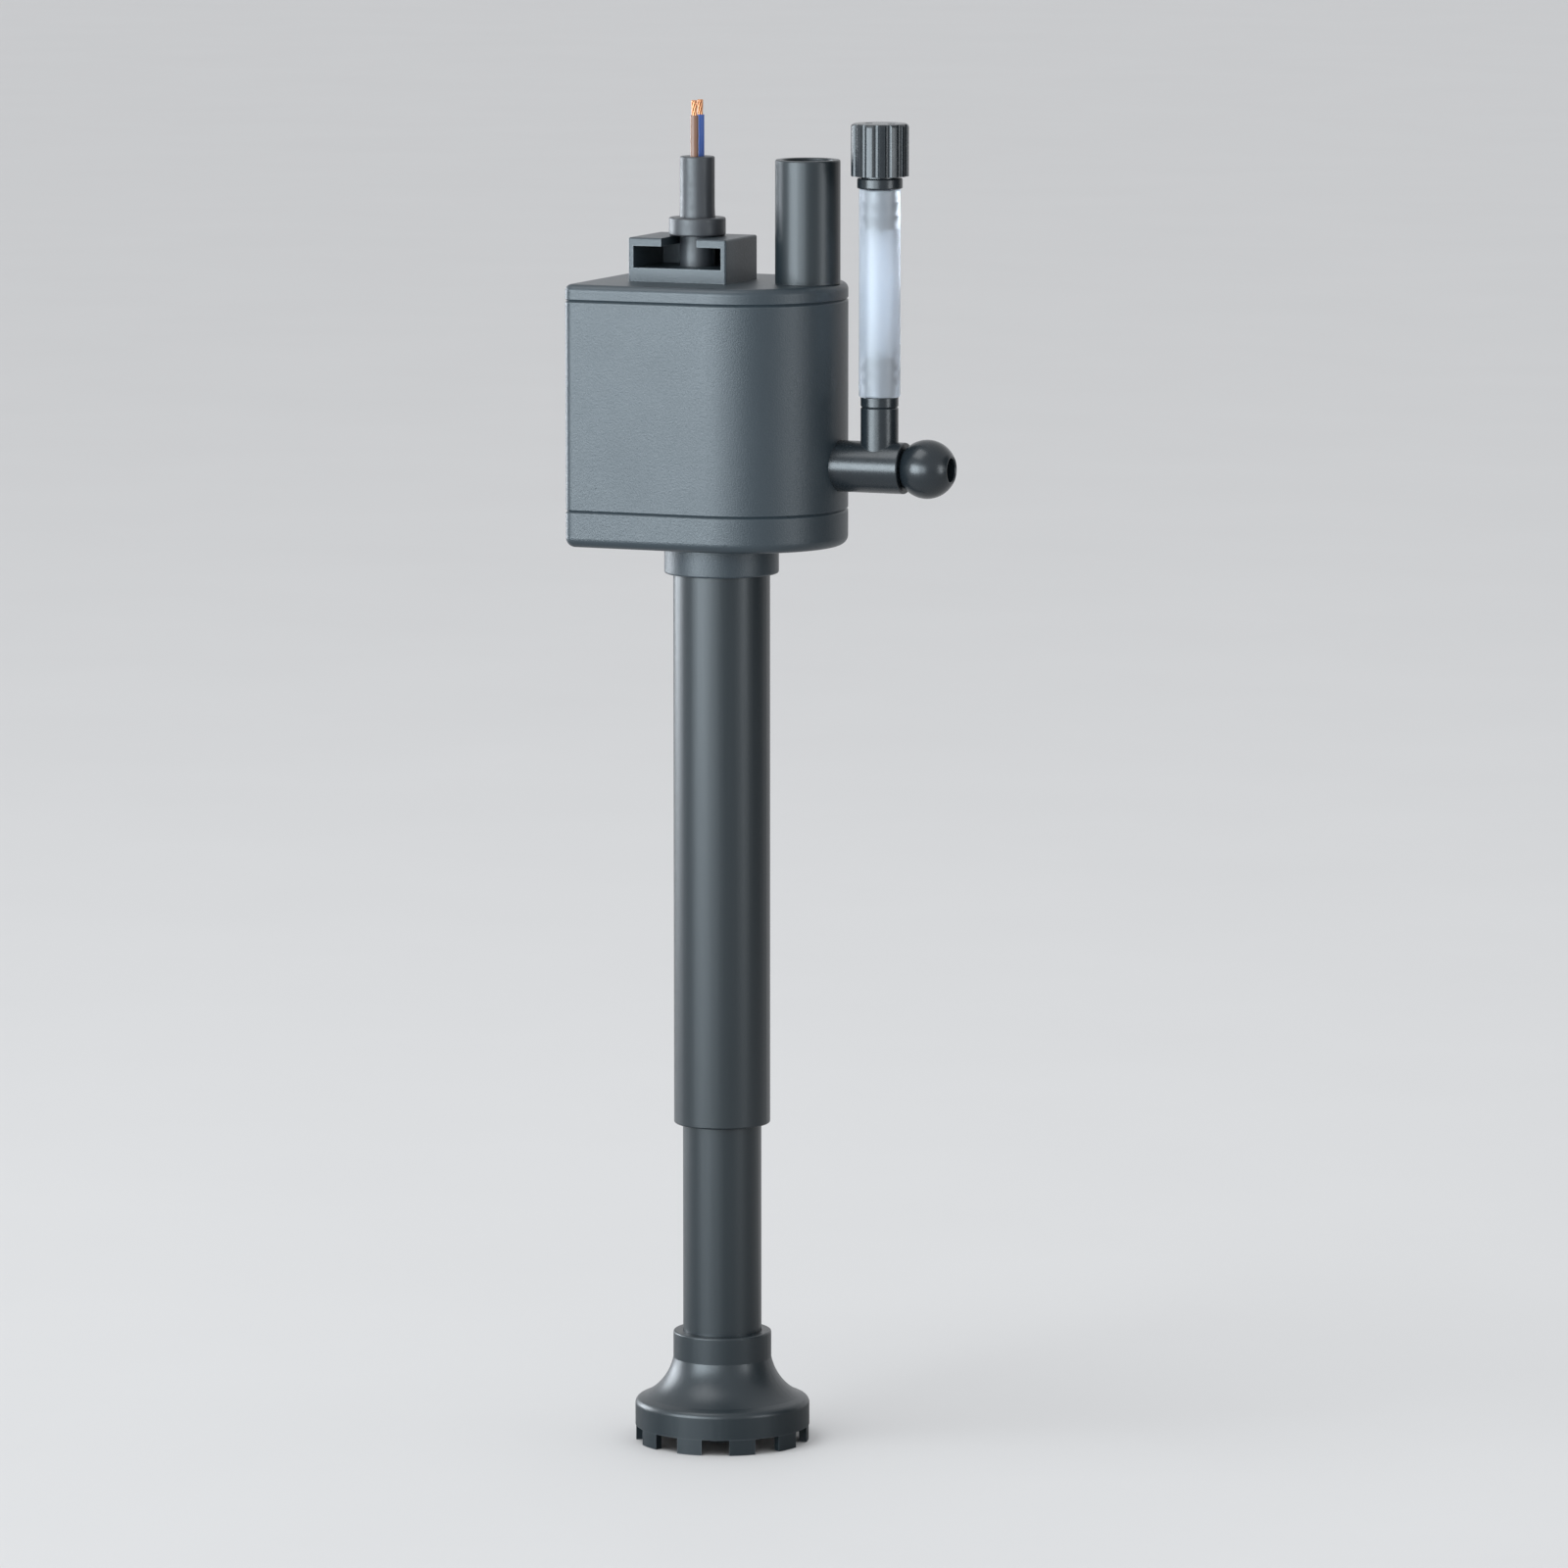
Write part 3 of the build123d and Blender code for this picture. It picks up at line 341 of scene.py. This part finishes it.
def bare_copper():
    """Bright copper strands with drawn lines along them."""
    look = Look("bare_copper", Metallic=1.0)
    lines = look.noise(0.1 * MM, detail=2, stretch=(1, 1, 0.05))
    base = look.blend(look.noise(0.6 * MM, detail=3), (0.42, 0.19, 0.09), (0.56, 0.28, 0.15))
    rough = look.remap(lines, 0.3, 0.7, 0.3, 0.42)
    return look.finish(base, rough, look.bump(lines, 0.006 * MM, 0.5))


def potting_resin():
    """Cast resin with a gently uneven, glossy skin."""
    look = Look("potting_resin", Coat_Weight=0.4)
    swell = look.noise(6 * MM, detail=2)
    base = look.blend(swell, (0.020, 0.016, 0.012), (0.045, 0.037, 0.030))
    rough = look.remap(look.noise(1.2 * MM), 0.3, 0.7, 0.14, 0.26)
    return look.finish(base, rough, look.bump(swell, 0.3 * MM, 0.5))


def filter_foam():
    """Dark reticulated foam."""
    look = Look("filter_foam", Sheen_Weight=0.3)
    base = look.blend(look.cells(0.5 * MM), (0.020, 0.024, 0.027), (0.13, 0.15, 0.16))
    rough = look.remap(look.noise(0.3 * MM), 0.3, 0.7, 0.75, 0.92)
    return look.finish(base, rough, look.bump(look.cells(0.3 * MM), 0.08 * MM, 0.7))


MAKERS = {
    "case_plastic": case_plastic, "tube_plastic": tube_plastic,
    "fitting_plastic": fitting_plastic, "inner_plastic": inner_plastic,
    "hose_clear": soft_hose, "seal_rubber": seal_rubber, "cup_rubber": cup_rubber,
    "cord_jacket": cord_jacket, "core_insulation": core_insulation,
    "magnet_ferrite": magnet_ferrite, "shaft_ceramic": shaft_ceramic, "core_steel": core_steel,
    "copper_wire": copper_wire, "potting_resin": potting_resin, "filter_foam": filter_foam,
}
MATERIALS = {name: maker() for name, maker in MAKERS.items()}


def dress_frame():
    """Gives every CAD node the material of its slot."""
    for entry in frame["record"]["subparts"]:
        node = NODES[entry["node"]]
        node.data.materials.clear()
        node.data.materials.append(MATERIALS[entry["material_slot"]])


# ---------------------------------------------------------------- mesh helpers

def place(name, mesh, body, material):
    """Puts a smooth mesh in the scene as a piece that rides on a body."""
    piece = bpy.data.objects.new(name, mesh)
    bpy.context.scene.collection.objects.link(piece)
    mesh.materials.append(material)
    mesh.shade_smooth()
    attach(piece, body)
    return piece


def lathe(name, profile, origin, axis, segments=96):
    """Revolves closed (radius, distance along axis) points; a radius of 0 makes a pole."""
    mesh = bmesh.new()
    side = axis.orthogonal().normalized()
    other = axis.cross(side)
    rings = []
    for radius, distance in profile:
        centre = origin + axis * distance
        if radius < 1e-9:
            rings.append([mesh.verts.new(centre)])
            continue
        ring = []
        for step in range(segments):
            angle = math.tau * step / segments
            ring.append(mesh.verts.new(
                centre + radius * (side * math.cos(angle) + other * math.sin(angle))
            ))
        rings.append(ring)
    for low, high in zip(rings, rings[1:] + rings[:1]):
        if len(low) == 1 and len(high) == 1:
            continue
        for step in range(segments):
            following = (step + 1) % segments
            corners = [low[step % len(low)], low[following % len(low)],
                       high[following % len(high)], high[step % len(high)]]
            mesh.faces.new(list(dict.fromkeys(corners)))
    bmesh.ops.recalc_face_normals(mesh, faces=mesh.faces)
    data = bpy.data.meshes.new(name)
    mesh.to_mesh(data)
    mesh.free()
    return data


def arc(centre, radius, start, end, steps):
    """Points of an arc in (radius, distance) space; angles in degrees."""
    points = []
    for step in range(steps + 1):
        angle = math.radians(start + (end - start) * step / steps)
        points.append((centre[0] + radius * math.cos(angle),
                       centre[1] + radius * math.sin(angle)))
    return points


def foot_of(low, high):
    """The middle of a box's underside."""
    return Vector(((low.x + high.x) / 2, (low.y + high.y) / 2, low.z))


# ---------------------------------------------------------------- hose

BARB_LENGTH = 5.7 * MM
BARB_TEETH = 2
TOOTH_SPREAD = 0.7 * MM     # half length of the swelling over a tooth
TOOTH_SWELL = 0.025 * MM
HOSE_EDGE = 0.12 * MM
HOSE_WALL = 1 * MM
HUG_WALL = 1.7 * MM         # wall where the bore closes on the barb
BORE_STEP = 0.05 * MM


def hose_swell(height, length):
    """How far the hose stands out where it is stretched over the teeth of each barb."""
    swell = 0.0
    for from_end in (height, length - height):
        for tooth in range(1, BARB_TEETH + 1):
            offset = (from_end - tooth * BARB_LENGTH / (BARB_TEETH + 1)) / TOOTH_SPREAD
            swell += TOOTH_SWELL * math.exp(-offset * offset)
    return swell


def hose_profile(outer, length, steps=150):
    """Half section, up the outside and down the bore."""
    bore, hug = outer - HOSE_WALL, outer - HUG_WALL
    profile = [(hug, 0), (outer - HOSE_EDGE, 0)]
    for step in range(steps + 1):
        height = HOSE_EDGE + (length - 2 * HOSE_EDGE) * step / steps
        profile.append((outer + hose_swell(height, length), height))
    profile += [(outer - HOSE_EDGE, length), (hug, length)]
    upper, lower = length - BARB_LENGTH, BARB_LENGTH
    profile += [(hug, upper - BORE_STEP), (bore, upper - 2 * BORE_STEP)]
    profile += [(bore, lower + 2 * BORE_STEP), (hug, lower + BORE_STEP)]
    return profile


def make_hose():
    """The air hose: its bore hugs the barb at each end, so that no air gap is left there."""
    low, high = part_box("air_hose")
    foot = foot_of(low, high)
    mesh = lathe("hose", hose_profile((high.x - low.x) / 2, high.z - low.z), foot, AXIS_Z)
    hose = place("hose", mesh, "pump", MATERIALS["hose_clear"])
    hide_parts("air_hose")


# ---------------------------------------------------------------- cord

CORD_EDGE = 0.25 * MM
COLLAR_REACH = 0.9 * MM     # how far the cord bulges beside its collar
COLLAR_BULGE = 0.06 * MM


def make_cord():
    """The jacket of the cord, bulged a little beside its collar, and its cut end."""
    low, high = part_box("power_cord")
    collar_low, collar_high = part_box("cord_collar")
    radius = (high.x - low.x) / 2
    length = high.z - low.z
    profile = [(0, 0), (radius - CORD_EDGE, 0), (radius, CORD_EDGE)]
    steps = 90
    for step in range(steps + 1):
        height = CORD_EDGE + (length - 2 * CORD_EDGE) * step / steps
        level = low.z + height
        near = min(abs(level - collar_low.z), abs(level - collar_high.z)) / COLLAR_REACH
        profile.append((radius + COLLAR_BULGE * math.exp(-near * near), height))
    profile += arc((radius - CORD_EDGE, length - CORD_EDGE), CORD_EDGE, 20, 90, 4)
    # The cut face is slightly hollow
    profile += [(radius - 0.9 * MM, length - 0.04 * MM), (0, length - 0.09 * MM)]
    mesh = lathe("cord", profile, foot_of(low, high), AXIS_Z)
    cord = place("cord", mesh, "pump", MATERIALS["cord_jacket"])
    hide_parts("power_cord")


CORE_RADIUS = 0.6 * MM
STRAND_RADIUS = 0.13 * MM
STRAND_START = 0.5 * MM     # the strands begin this far inside the insulation
STRAND_REACH = 2.2 * MM
STRAND_TURNS = 0.35


def add_strand(mesh, foot, ring_radius, start, steps=14, sides=10):
    """One strand, wound around the line above foot and spreading a little towards its end."""
    rings = []
    for step in range(steps + 1):
        part = step / steps
        angle = start + math.tau * STRAND_TURNS * part
        spread = ring_radius * (1 + 0.25 * part * part)
        centre = foot + Vector((spread * math.cos(angle), spread * math.sin(angle),
                                (STRAND_START + STRAND_REACH) * part))
        thin = STRAND_RADIUS * (0.6 if step == steps else 1.0)
        ring = []
        for side in range(sides):
            turn = math.tau * side / sides
            ring.append(mesh.verts.new(centre + thin * Vector((math.cos(turn), math.sin(turn), 0))))
        rings.append(ring)
    for under, over in zip(rings, rings[1:]):
        for side in range(sides):
            following = (side + 1) % sides
            mesh.faces.new((under[side], under[following], over[following], over[side]))
    mesh.faces.new(rings[-1])
    mesh.faces.new(rings[0][::-1])


def make_strands():
    """Seven twisted copper strands at the bared end of each core."""
    low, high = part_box("cord_conductors")
    cord_low, cord_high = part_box("power_cord")
    x = (cord_low.x + cord_high.x) / 2
    copper = bare_copper()
    for label, y in (("brown", low.y + CORE_RADIUS), ("blue", high.y - CORE_RADIUS)):
        mesh = bmesh.new()
        foot = Vector((x, y, high.z - STRAND_START))
        for number in range(7):
            ring_radius = 0 if number == 0 else 2.05 * STRAND_RADIUS
            add_strand(mesh, foot, ring_radius, math.tau * number / 6)
        data = bpy.data.meshes.new("strands_" + label)
        mesh.to_mesh(data)
        mesh.free()
        place("strands_" + label, data, "pump", copper)


# ---------------------------------------------------------------- suction cups

CUP_EDGE = 0.35 * MM
KNOB_RADIUS, KNOB_LENGTH = 2.4 * MM, 1.3 * MM
NECK_RADIUS, NECK_END = 1.4 * MM, 2.8 * MM
LIP_RADIUS = 0.2 * MM
CUP_HOLLOW = 1.7 * MM
RING_PITCH, RING_HEIGHT = 1.1 * MM, 0.07 * MM
TAB_HALF_WIDTH, TAB_REACH, TAB_THICKNESS = 1.9 * MM, 2.6 * MM, 0.8 * MM
TAB_OVERLAP = 0.9 * MM      # how far the tab reaches in over the rim
TAB_SETBACK = 0.35 * MM     # from the sealing plane to the tab's back
GRIP_HEIGHT, GRIP_LENGTH = 0.02 * MM, 0.25 * MM


def cup_profile(radius, depth):
    """Half section of a cup, as (radius, distance from the knob's end) points."""
    edge = CUP_EDGE
    points = [(0, 0)]
    points += arc((KNOB_RADIUS - edge, edge), edge, -90, 0, 5)
    points += arc((KNOB_RADIUS - edge, KNOB_LENGTH - edge), edge, 0, 90, 5)
    points += arc((NECK_RADIUS + edge, KNOB_LENGTH + edge), edge, -90, -180, 4)
    points += arc((NECK_RADIUS + edge, NECK_END - edge), edge, 180, 90, 4)
    # Outer side of the disc: a shallow dome that ends in a thin lip
    for step in range(1, 25):
        part = step / 24
        bow = 0.33 * MM * math.sin(part * math.pi)
        points.append((2.6 * MM + (radius - 2.7 * MM) * part,
                       NECK_END + (depth - 0.4 * MM - NECK_END) * part ** 1.6 - bow))
    points += arc((radius - LIP_RADIUS, depth - LIP_RADIUS), LIP_RADIUS, -10, 90, 5)
    # Sealing face with fine rings near the rim, then the hollow
    steps, inner_start = 40, radius - 0.5 * MM
    for step in range(steps + 1):
        part = step / steps
        r = inner_start * (1 - part)
        hollow = CUP_HOLLOW * (1 - (r / inner_start) ** 2)
        wave = max(0.0, math.cos(math.tau * r / RING_PITCH))
        ridge = RING_HEIGHT * wave if part < 0.55 else 0.0
        points.append((r, depth - hollow + ridge))
    return points


def tab_outline(radius, steps=16):
    """A tongue with a round end that stands clear of the rim, as (across, outwards) points."""
    outline = [(-TAB_HALF_WIDTH, radius - TAB_OVERLAP)]
    for step in range(steps + 1):
        angle = math.pi * (1 - step / steps)
        outline.append((TAB_HALF_WIDTH * math.cos(angle),
                        radius + TAB_REACH - TAB_HALF_WIDTH + TAB_HALF_WIDTH * math.sin(angle)))
    outline.append((TAB_HALF_WIDTH, radius - TAB_OVERLAP))
    return outline


def make_tab(label, x, back_y, centre_z, radius, sign):
    """The pull tab on a cup's rim, pointing up or down, with grip ribs across it."""
    mesh = bmesh.new()
    face = mesh.faces.new([
        mesh.verts.new((x + across, back_y, centre_z + sign * outwards))
        for across, outwards in tab_outline(radius)
    ])
    grown = bmesh.ops.extrude_face_region(mesh, geom=[face])
    moved = [item for item in grown["geom"] if isinstance(item, bmesh.types.BMVert)]
    bmesh.ops.translate(mesh, verts=moved, vec=(0, -TAB_THICKNESS, 0))
    bmesh.ops.recalc_face_normals(mesh, faces=mesh.faces)
    bmesh.ops.bevel(mesh, geom=list(mesh.edges), offset=0.2 * MM, segments=3, affect="EDGES")
    for vert in mesh.verts:
        along = sign * (vert.co.z - centre_z) - radius
        if along > 0.2 * MM:
            vert.co.y += GRIP_HEIGHT * math.sin(along / GRIP_LENGTH)
    data = bpy.data.meshes.new("cup_tab_" + label)
    mesh.to_mesh(data)
    mesh.free()
    tab = place("cup_tab_" + label, data, "pump", MATERIALS["cup_rubber"])
    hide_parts("suction_cups")


def make_cup(label, centre_z, tab_up):
    """A suction cup with a pull tab on its rim."""
    low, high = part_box("suction_cups")
    radius = (high.x - low.x) / 2
    x = (low.x + high.x) / 2
    start = Vector((x, low.y, centre_z))
    data = lathe("cup_" + label, cup_profile(radius, high.y - low.y), start, AXIS_Y)
    cup = place("cup_" + label, data, "pump", MATERIALS["cup_rubber"])
    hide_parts("suction_cups")
    make_tab(label, x, high.y - TAB_SETBACK, centre_z, radius, 1 if tab_up else -1)


def make_cups():
    """Two cups, one above the other, with their tabs pointing away from each other."""
    low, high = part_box("suction_cups")
    radius = (high.x - low.x) / 2
    make_cup("lower", low.z + radius, tab_up=False)
    make_cup("upper", high.z - radius, tab_up=True)


# ---------------------------------------------------------------- foam

def pore_centres(radius, height, spacing, generator):
    """Seeded pore centres on the two faces and the rim of a disc that starts at height 0."""
    centres = []
    face_count = int(math.pi * radius * radius / spacing ** 2)
    for level in (0, height):
        for _ in range(face_count):
            r = radius * math.sqrt(generator.random())
            angle = math.tau * generator.random()
            centres.append(Vector((r * math.cos(angle), r * math.sin(angle), level)))
    for _ in range(int(math.tau * radius * height / spacing ** 2)):
        angle = math.tau * generator.random()
        centres.append(Vector((radius * math.cos(angle), radius * math.sin(angle),
                               height * generator.random())))
    return centres


FOAM_EDGE = 0.5 * MM
FOAM_MESH = 0.2 * MM        # size of the mesh's faces
PORE_SPACING = 0.8 * MM
PORE_DEPTH = 0.5 * MM


def foam_profile(radius, height):
    """Half section of a disc with rounded edges and evenly spaced points."""
    edge, step_size = FOAM_EDGE, FOAM_MESH
    flat_steps = int((radius - edge) / step_size)
    flat = [(radius - edge) * step / flat_steps for step in range(flat_steps + 1)]
    wall_steps = int((height - 2 * edge) / step_size)
    wall = [edge + (height - 2 * edge) * step / wall_steps for step in range(1, wall_steps)]
    profile = [(r, 0) for r in flat]
    profile += arc((radius - edge, edge), edge, -75, 0, 4)
    profile += [(radius, h) for h in wall]
    profile += arc((radius - edge, height - edge), edge, 0, 75, 4)
    profile += [(r, height) for r in reversed(flat)]
    return profile


def make_foam():
    """An open-pored foam disc: a fine lathe pushed in around random pores."""
    low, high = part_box("strainer_sponge")
    radius, height = (high.x - low.x) / 2, high.z - low.z
    foot = foot_of(low, high)
    data = lathe("foam", foam_profile(radius, height), foot, AXIS_Z, segments=240)
    centres = pore_centres(radius, height, PORE_SPACING, random.Random(11))
    tree = kdtree.KDTree(len(centres))
    for index, centre in enumerate(centres):
        tree.insert(foot + centre, index)
    tree.balance()
    normals = [vertex.normal.copy() for vertex in data.vertices]
    for vertex, normal in zip(data.vertices, normals):
        _, index, distance = tree.find(vertex.co)
        pore_radius = (0.34 + 0.16 * ((index * 7) % 10) / 10) * MM
        if distance < pore_radius:
            depth = PORE_DEPTH * math.sqrt(1 - (distance / pore_radius) ** 2)
            vertex.co -= normal * depth
    foam = place("foam", data, "intake", MATERIALS["filter_foam"])
    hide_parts("strainer_sponge")


# ---------------------------------------------------------------- floor, light and camera

FLOOR_GAP = 0.05 * MM       # the floor lies this far below the foot
MIRROR_REACH = 150 * MM     # reflections of the floor are dark up to this far away


def floor_paper(level):
    """Pale paper, dark in reflections close by, and clear while the camera is below it."""
    look = Look("floor_paper", roughness=0.75)
    base = look.blend(look.noise(80 * MM, detail=4), (0.63, 0.625, 0.62), (0.66, 0.655, 0.65))
    path = look.add("ShaderNodeLightPath")
    near = look.remap(path.outputs["Ray Length"], 0.0, MIRROR_REACH, 0.8, 0.0)
    shade = look.math("MULTIPLY", near, path.outputs["Is Glossy Ray"])
    base = look.blend(shade, base, (0.03, 0.035, 0.035))
    look.finish(base, None, look.bump(look.noise(0.6 * MM), 0.05 * MM, 0.2))
    camera_place = look.add("ShaderNodeVectorTransform", vector_type="POINT",
                            convert_from="CAMERA", convert_to="WORLD")
    look.feed(camera_place, "Vector", (0, 0, 0))
    height = look.add("ShaderNodeSeparateXYZ")
    look.feed(height, "Vector", camera_place.outputs["Vector"])
    clear = look.add("ShaderNodeBsdfTransparent")
    mix = look.add("ShaderNodeMixShader")
    look.links.new(look.math("LESS_THAN", height.outputs["Z"], level), mix.inputs[0])
    look.links.new(look.bsdf.outputs[0], mix.inputs[1])
    look.links.new(clear.outputs[0], mix.inputs[2])
    look.links.new(mix.outputs[0], look.output.inputs["Surface"])
    return look.material


def make_floor(level):
    """A wide pale floor."""
    bpy.ops.mesh.primitive_plane_add(size=60, location=(0, 0, level))
    floor = bpy.context.object
    floor.name = "floor"
    floor.data.materials.append(floor_paper(level))
    return floor


def direction(azimuth, elevation):
    """Unit vector from the object; azimuth 0 is the front (-Y), 90 the right (+X)."""
    a, e = math.radians(azimuth), math.radians(elevation)
    return Vector((math.sin(a) * math.cos(e), -math.cos(a) * math.cos(e), math.sin(e)))


def softbox(name, target, azimuth, elevation, distance, size, radiance, color):
    """A rectangular area light that faces the target and isn't seen by the camera."""
    width, height = size
    data = bpy.data.lights.new(name, "AREA")
    data.shape = "RECTANGLE"
    data.size, data.size_y = width, height
    data.energy = radiance * math.pi * width * height
    data.color = color
    lamp = bpy.data.objects.new(name, data)
    way = direction(azimuth, elevation)
    lamp.location = target + way * distance
    lamp.rotation_mode = "QUATERNION"
    lamp.rotation_quaternion = way.to_track_quat("Z", "Y")
    lamp.visible_camera = False
    bpy.context.scene.collection.objects.link(lamp)
    return lamp


def spare(lamps, floor):
    """Keeps low side lamps off the floor, so that it stays evenly pale all around."""
    spared = bpy.data.collections.new("spared_floor")
    spared.objects.link(floor)
    spared.collection_objects[0].light_linking.link_state = "EXCLUDE"
    for lamp in lamps:
        lamp.light_linking.receiver_collection = spared


def dark_card(target, azimuth, distance, size):
    """A black card that only shows in reflections, to keep the shaded side deep."""
    width, height = size
    bpy.ops.mesh.primitive_plane_add(size=1)
    card = bpy.context.object
    card.name = "dark_card"
    way = direction(azimuth, 0)
    card.location = Vector((target.x, target.y, height / 2)) + way * distance
    card.rotation_mode = "QUATERNION"
    card.rotation_quaternion = way.to_track_quat("Z", "Y")
    card.scale = (width, height, 1)
    card.data.materials.append(Look("dark_card", 0.9, Base_Color=(0.01, 0.01, 0.01, 1)).material)
    card.visible_camera = False
    card.visible_diffuse = False
    card.visible_transmission = False
    card.visible_shadow = False


DAYLIGHT = (0.80, 0.92, 1.0)
COOL_WHITE = (0.88, 0.95, 1.0)
RIM_WHITE = (0.86, 0.93, 1.0)
TOP_WHITE = (0.93, 0.97, 1.0)
SKY_WHITE = (0.95, 0.97, 1.0)


def make_light(target, floor):
    """An even sky, four side lamps whose reflections draw the stripes on the tube, a top lamp."""
    world = bpy.data.worlds.new("studio")
    world.use_nodes = True
    bpy.context.scene.world = world
    back = world.node_tree.nodes["Background"]
    back.inputs["Color"].default_value = (*SKY_WHITE, 1)
    back.inputs["Strength"].default_value = 0.90
    # Azimuth, elevation, distance, size and radiance of each lamp
    sides = [
        softbox("key", target, -28, 3, 0.9, (0.55, 0.6), 8.0, DAYLIGHT),
        softbox("wide_key", target, -16, 3, 0.95, (1.10, 0.6), 7.0, DAYLIGHT),
        softbox("strip", target, 76, 2, 0.9, (0.28, 0.5), 6.0, COOL_WHITE),
        softbox("rim", target, -103, 3, 0.9, (0.50, 0.6), 10.0, RIM_WHITE),
    ]
    spare(sides, floor)
    softbox("top", target, -35, 62, 1.2, (0.7, 0.7), 4.0, TOP_WHITE)
    dark_card(target, 114, 0.5, (0.42, 0.45))


CAMERA_PLACE = (0.5017, -1.1991, 0.2753)
CAMERA_LENS = 205           # in mm, for a sensor 36 mm wide


def make_camera(target):
    """The camera stands where the photograph's did, seen from the filter, with a longer lens."""
    data = bpy.data.cameras.new("camera")
    data.sensor_width = 36
    data.lens = CAMERA_LENS
    camera = bpy.data.objects.new("camera", data)
    camera.location = CAMERA_PLACE
    camera.rotation_mode = "QUATERNION"
    camera.rotation_quaternion = (camera.location - target).to_track_quat("Z", "Y")
    data.clip_start, data.clip_end = 0.05, 100
    bpy.context.scene.collection.objects.link(camera)
    bpy.context.scene.camera = camera


dress_frame()
make_hose()
make_cord()
make_strands()
make_cups()
make_foam()
low, high = CAD_BOX
middle = (low + high) / 2
make_light(middle, make_floor(low.z - FLOOR_GAP))
make_camera(middle)
bpy.context.scene.view_settings.view_transform = "Standard"
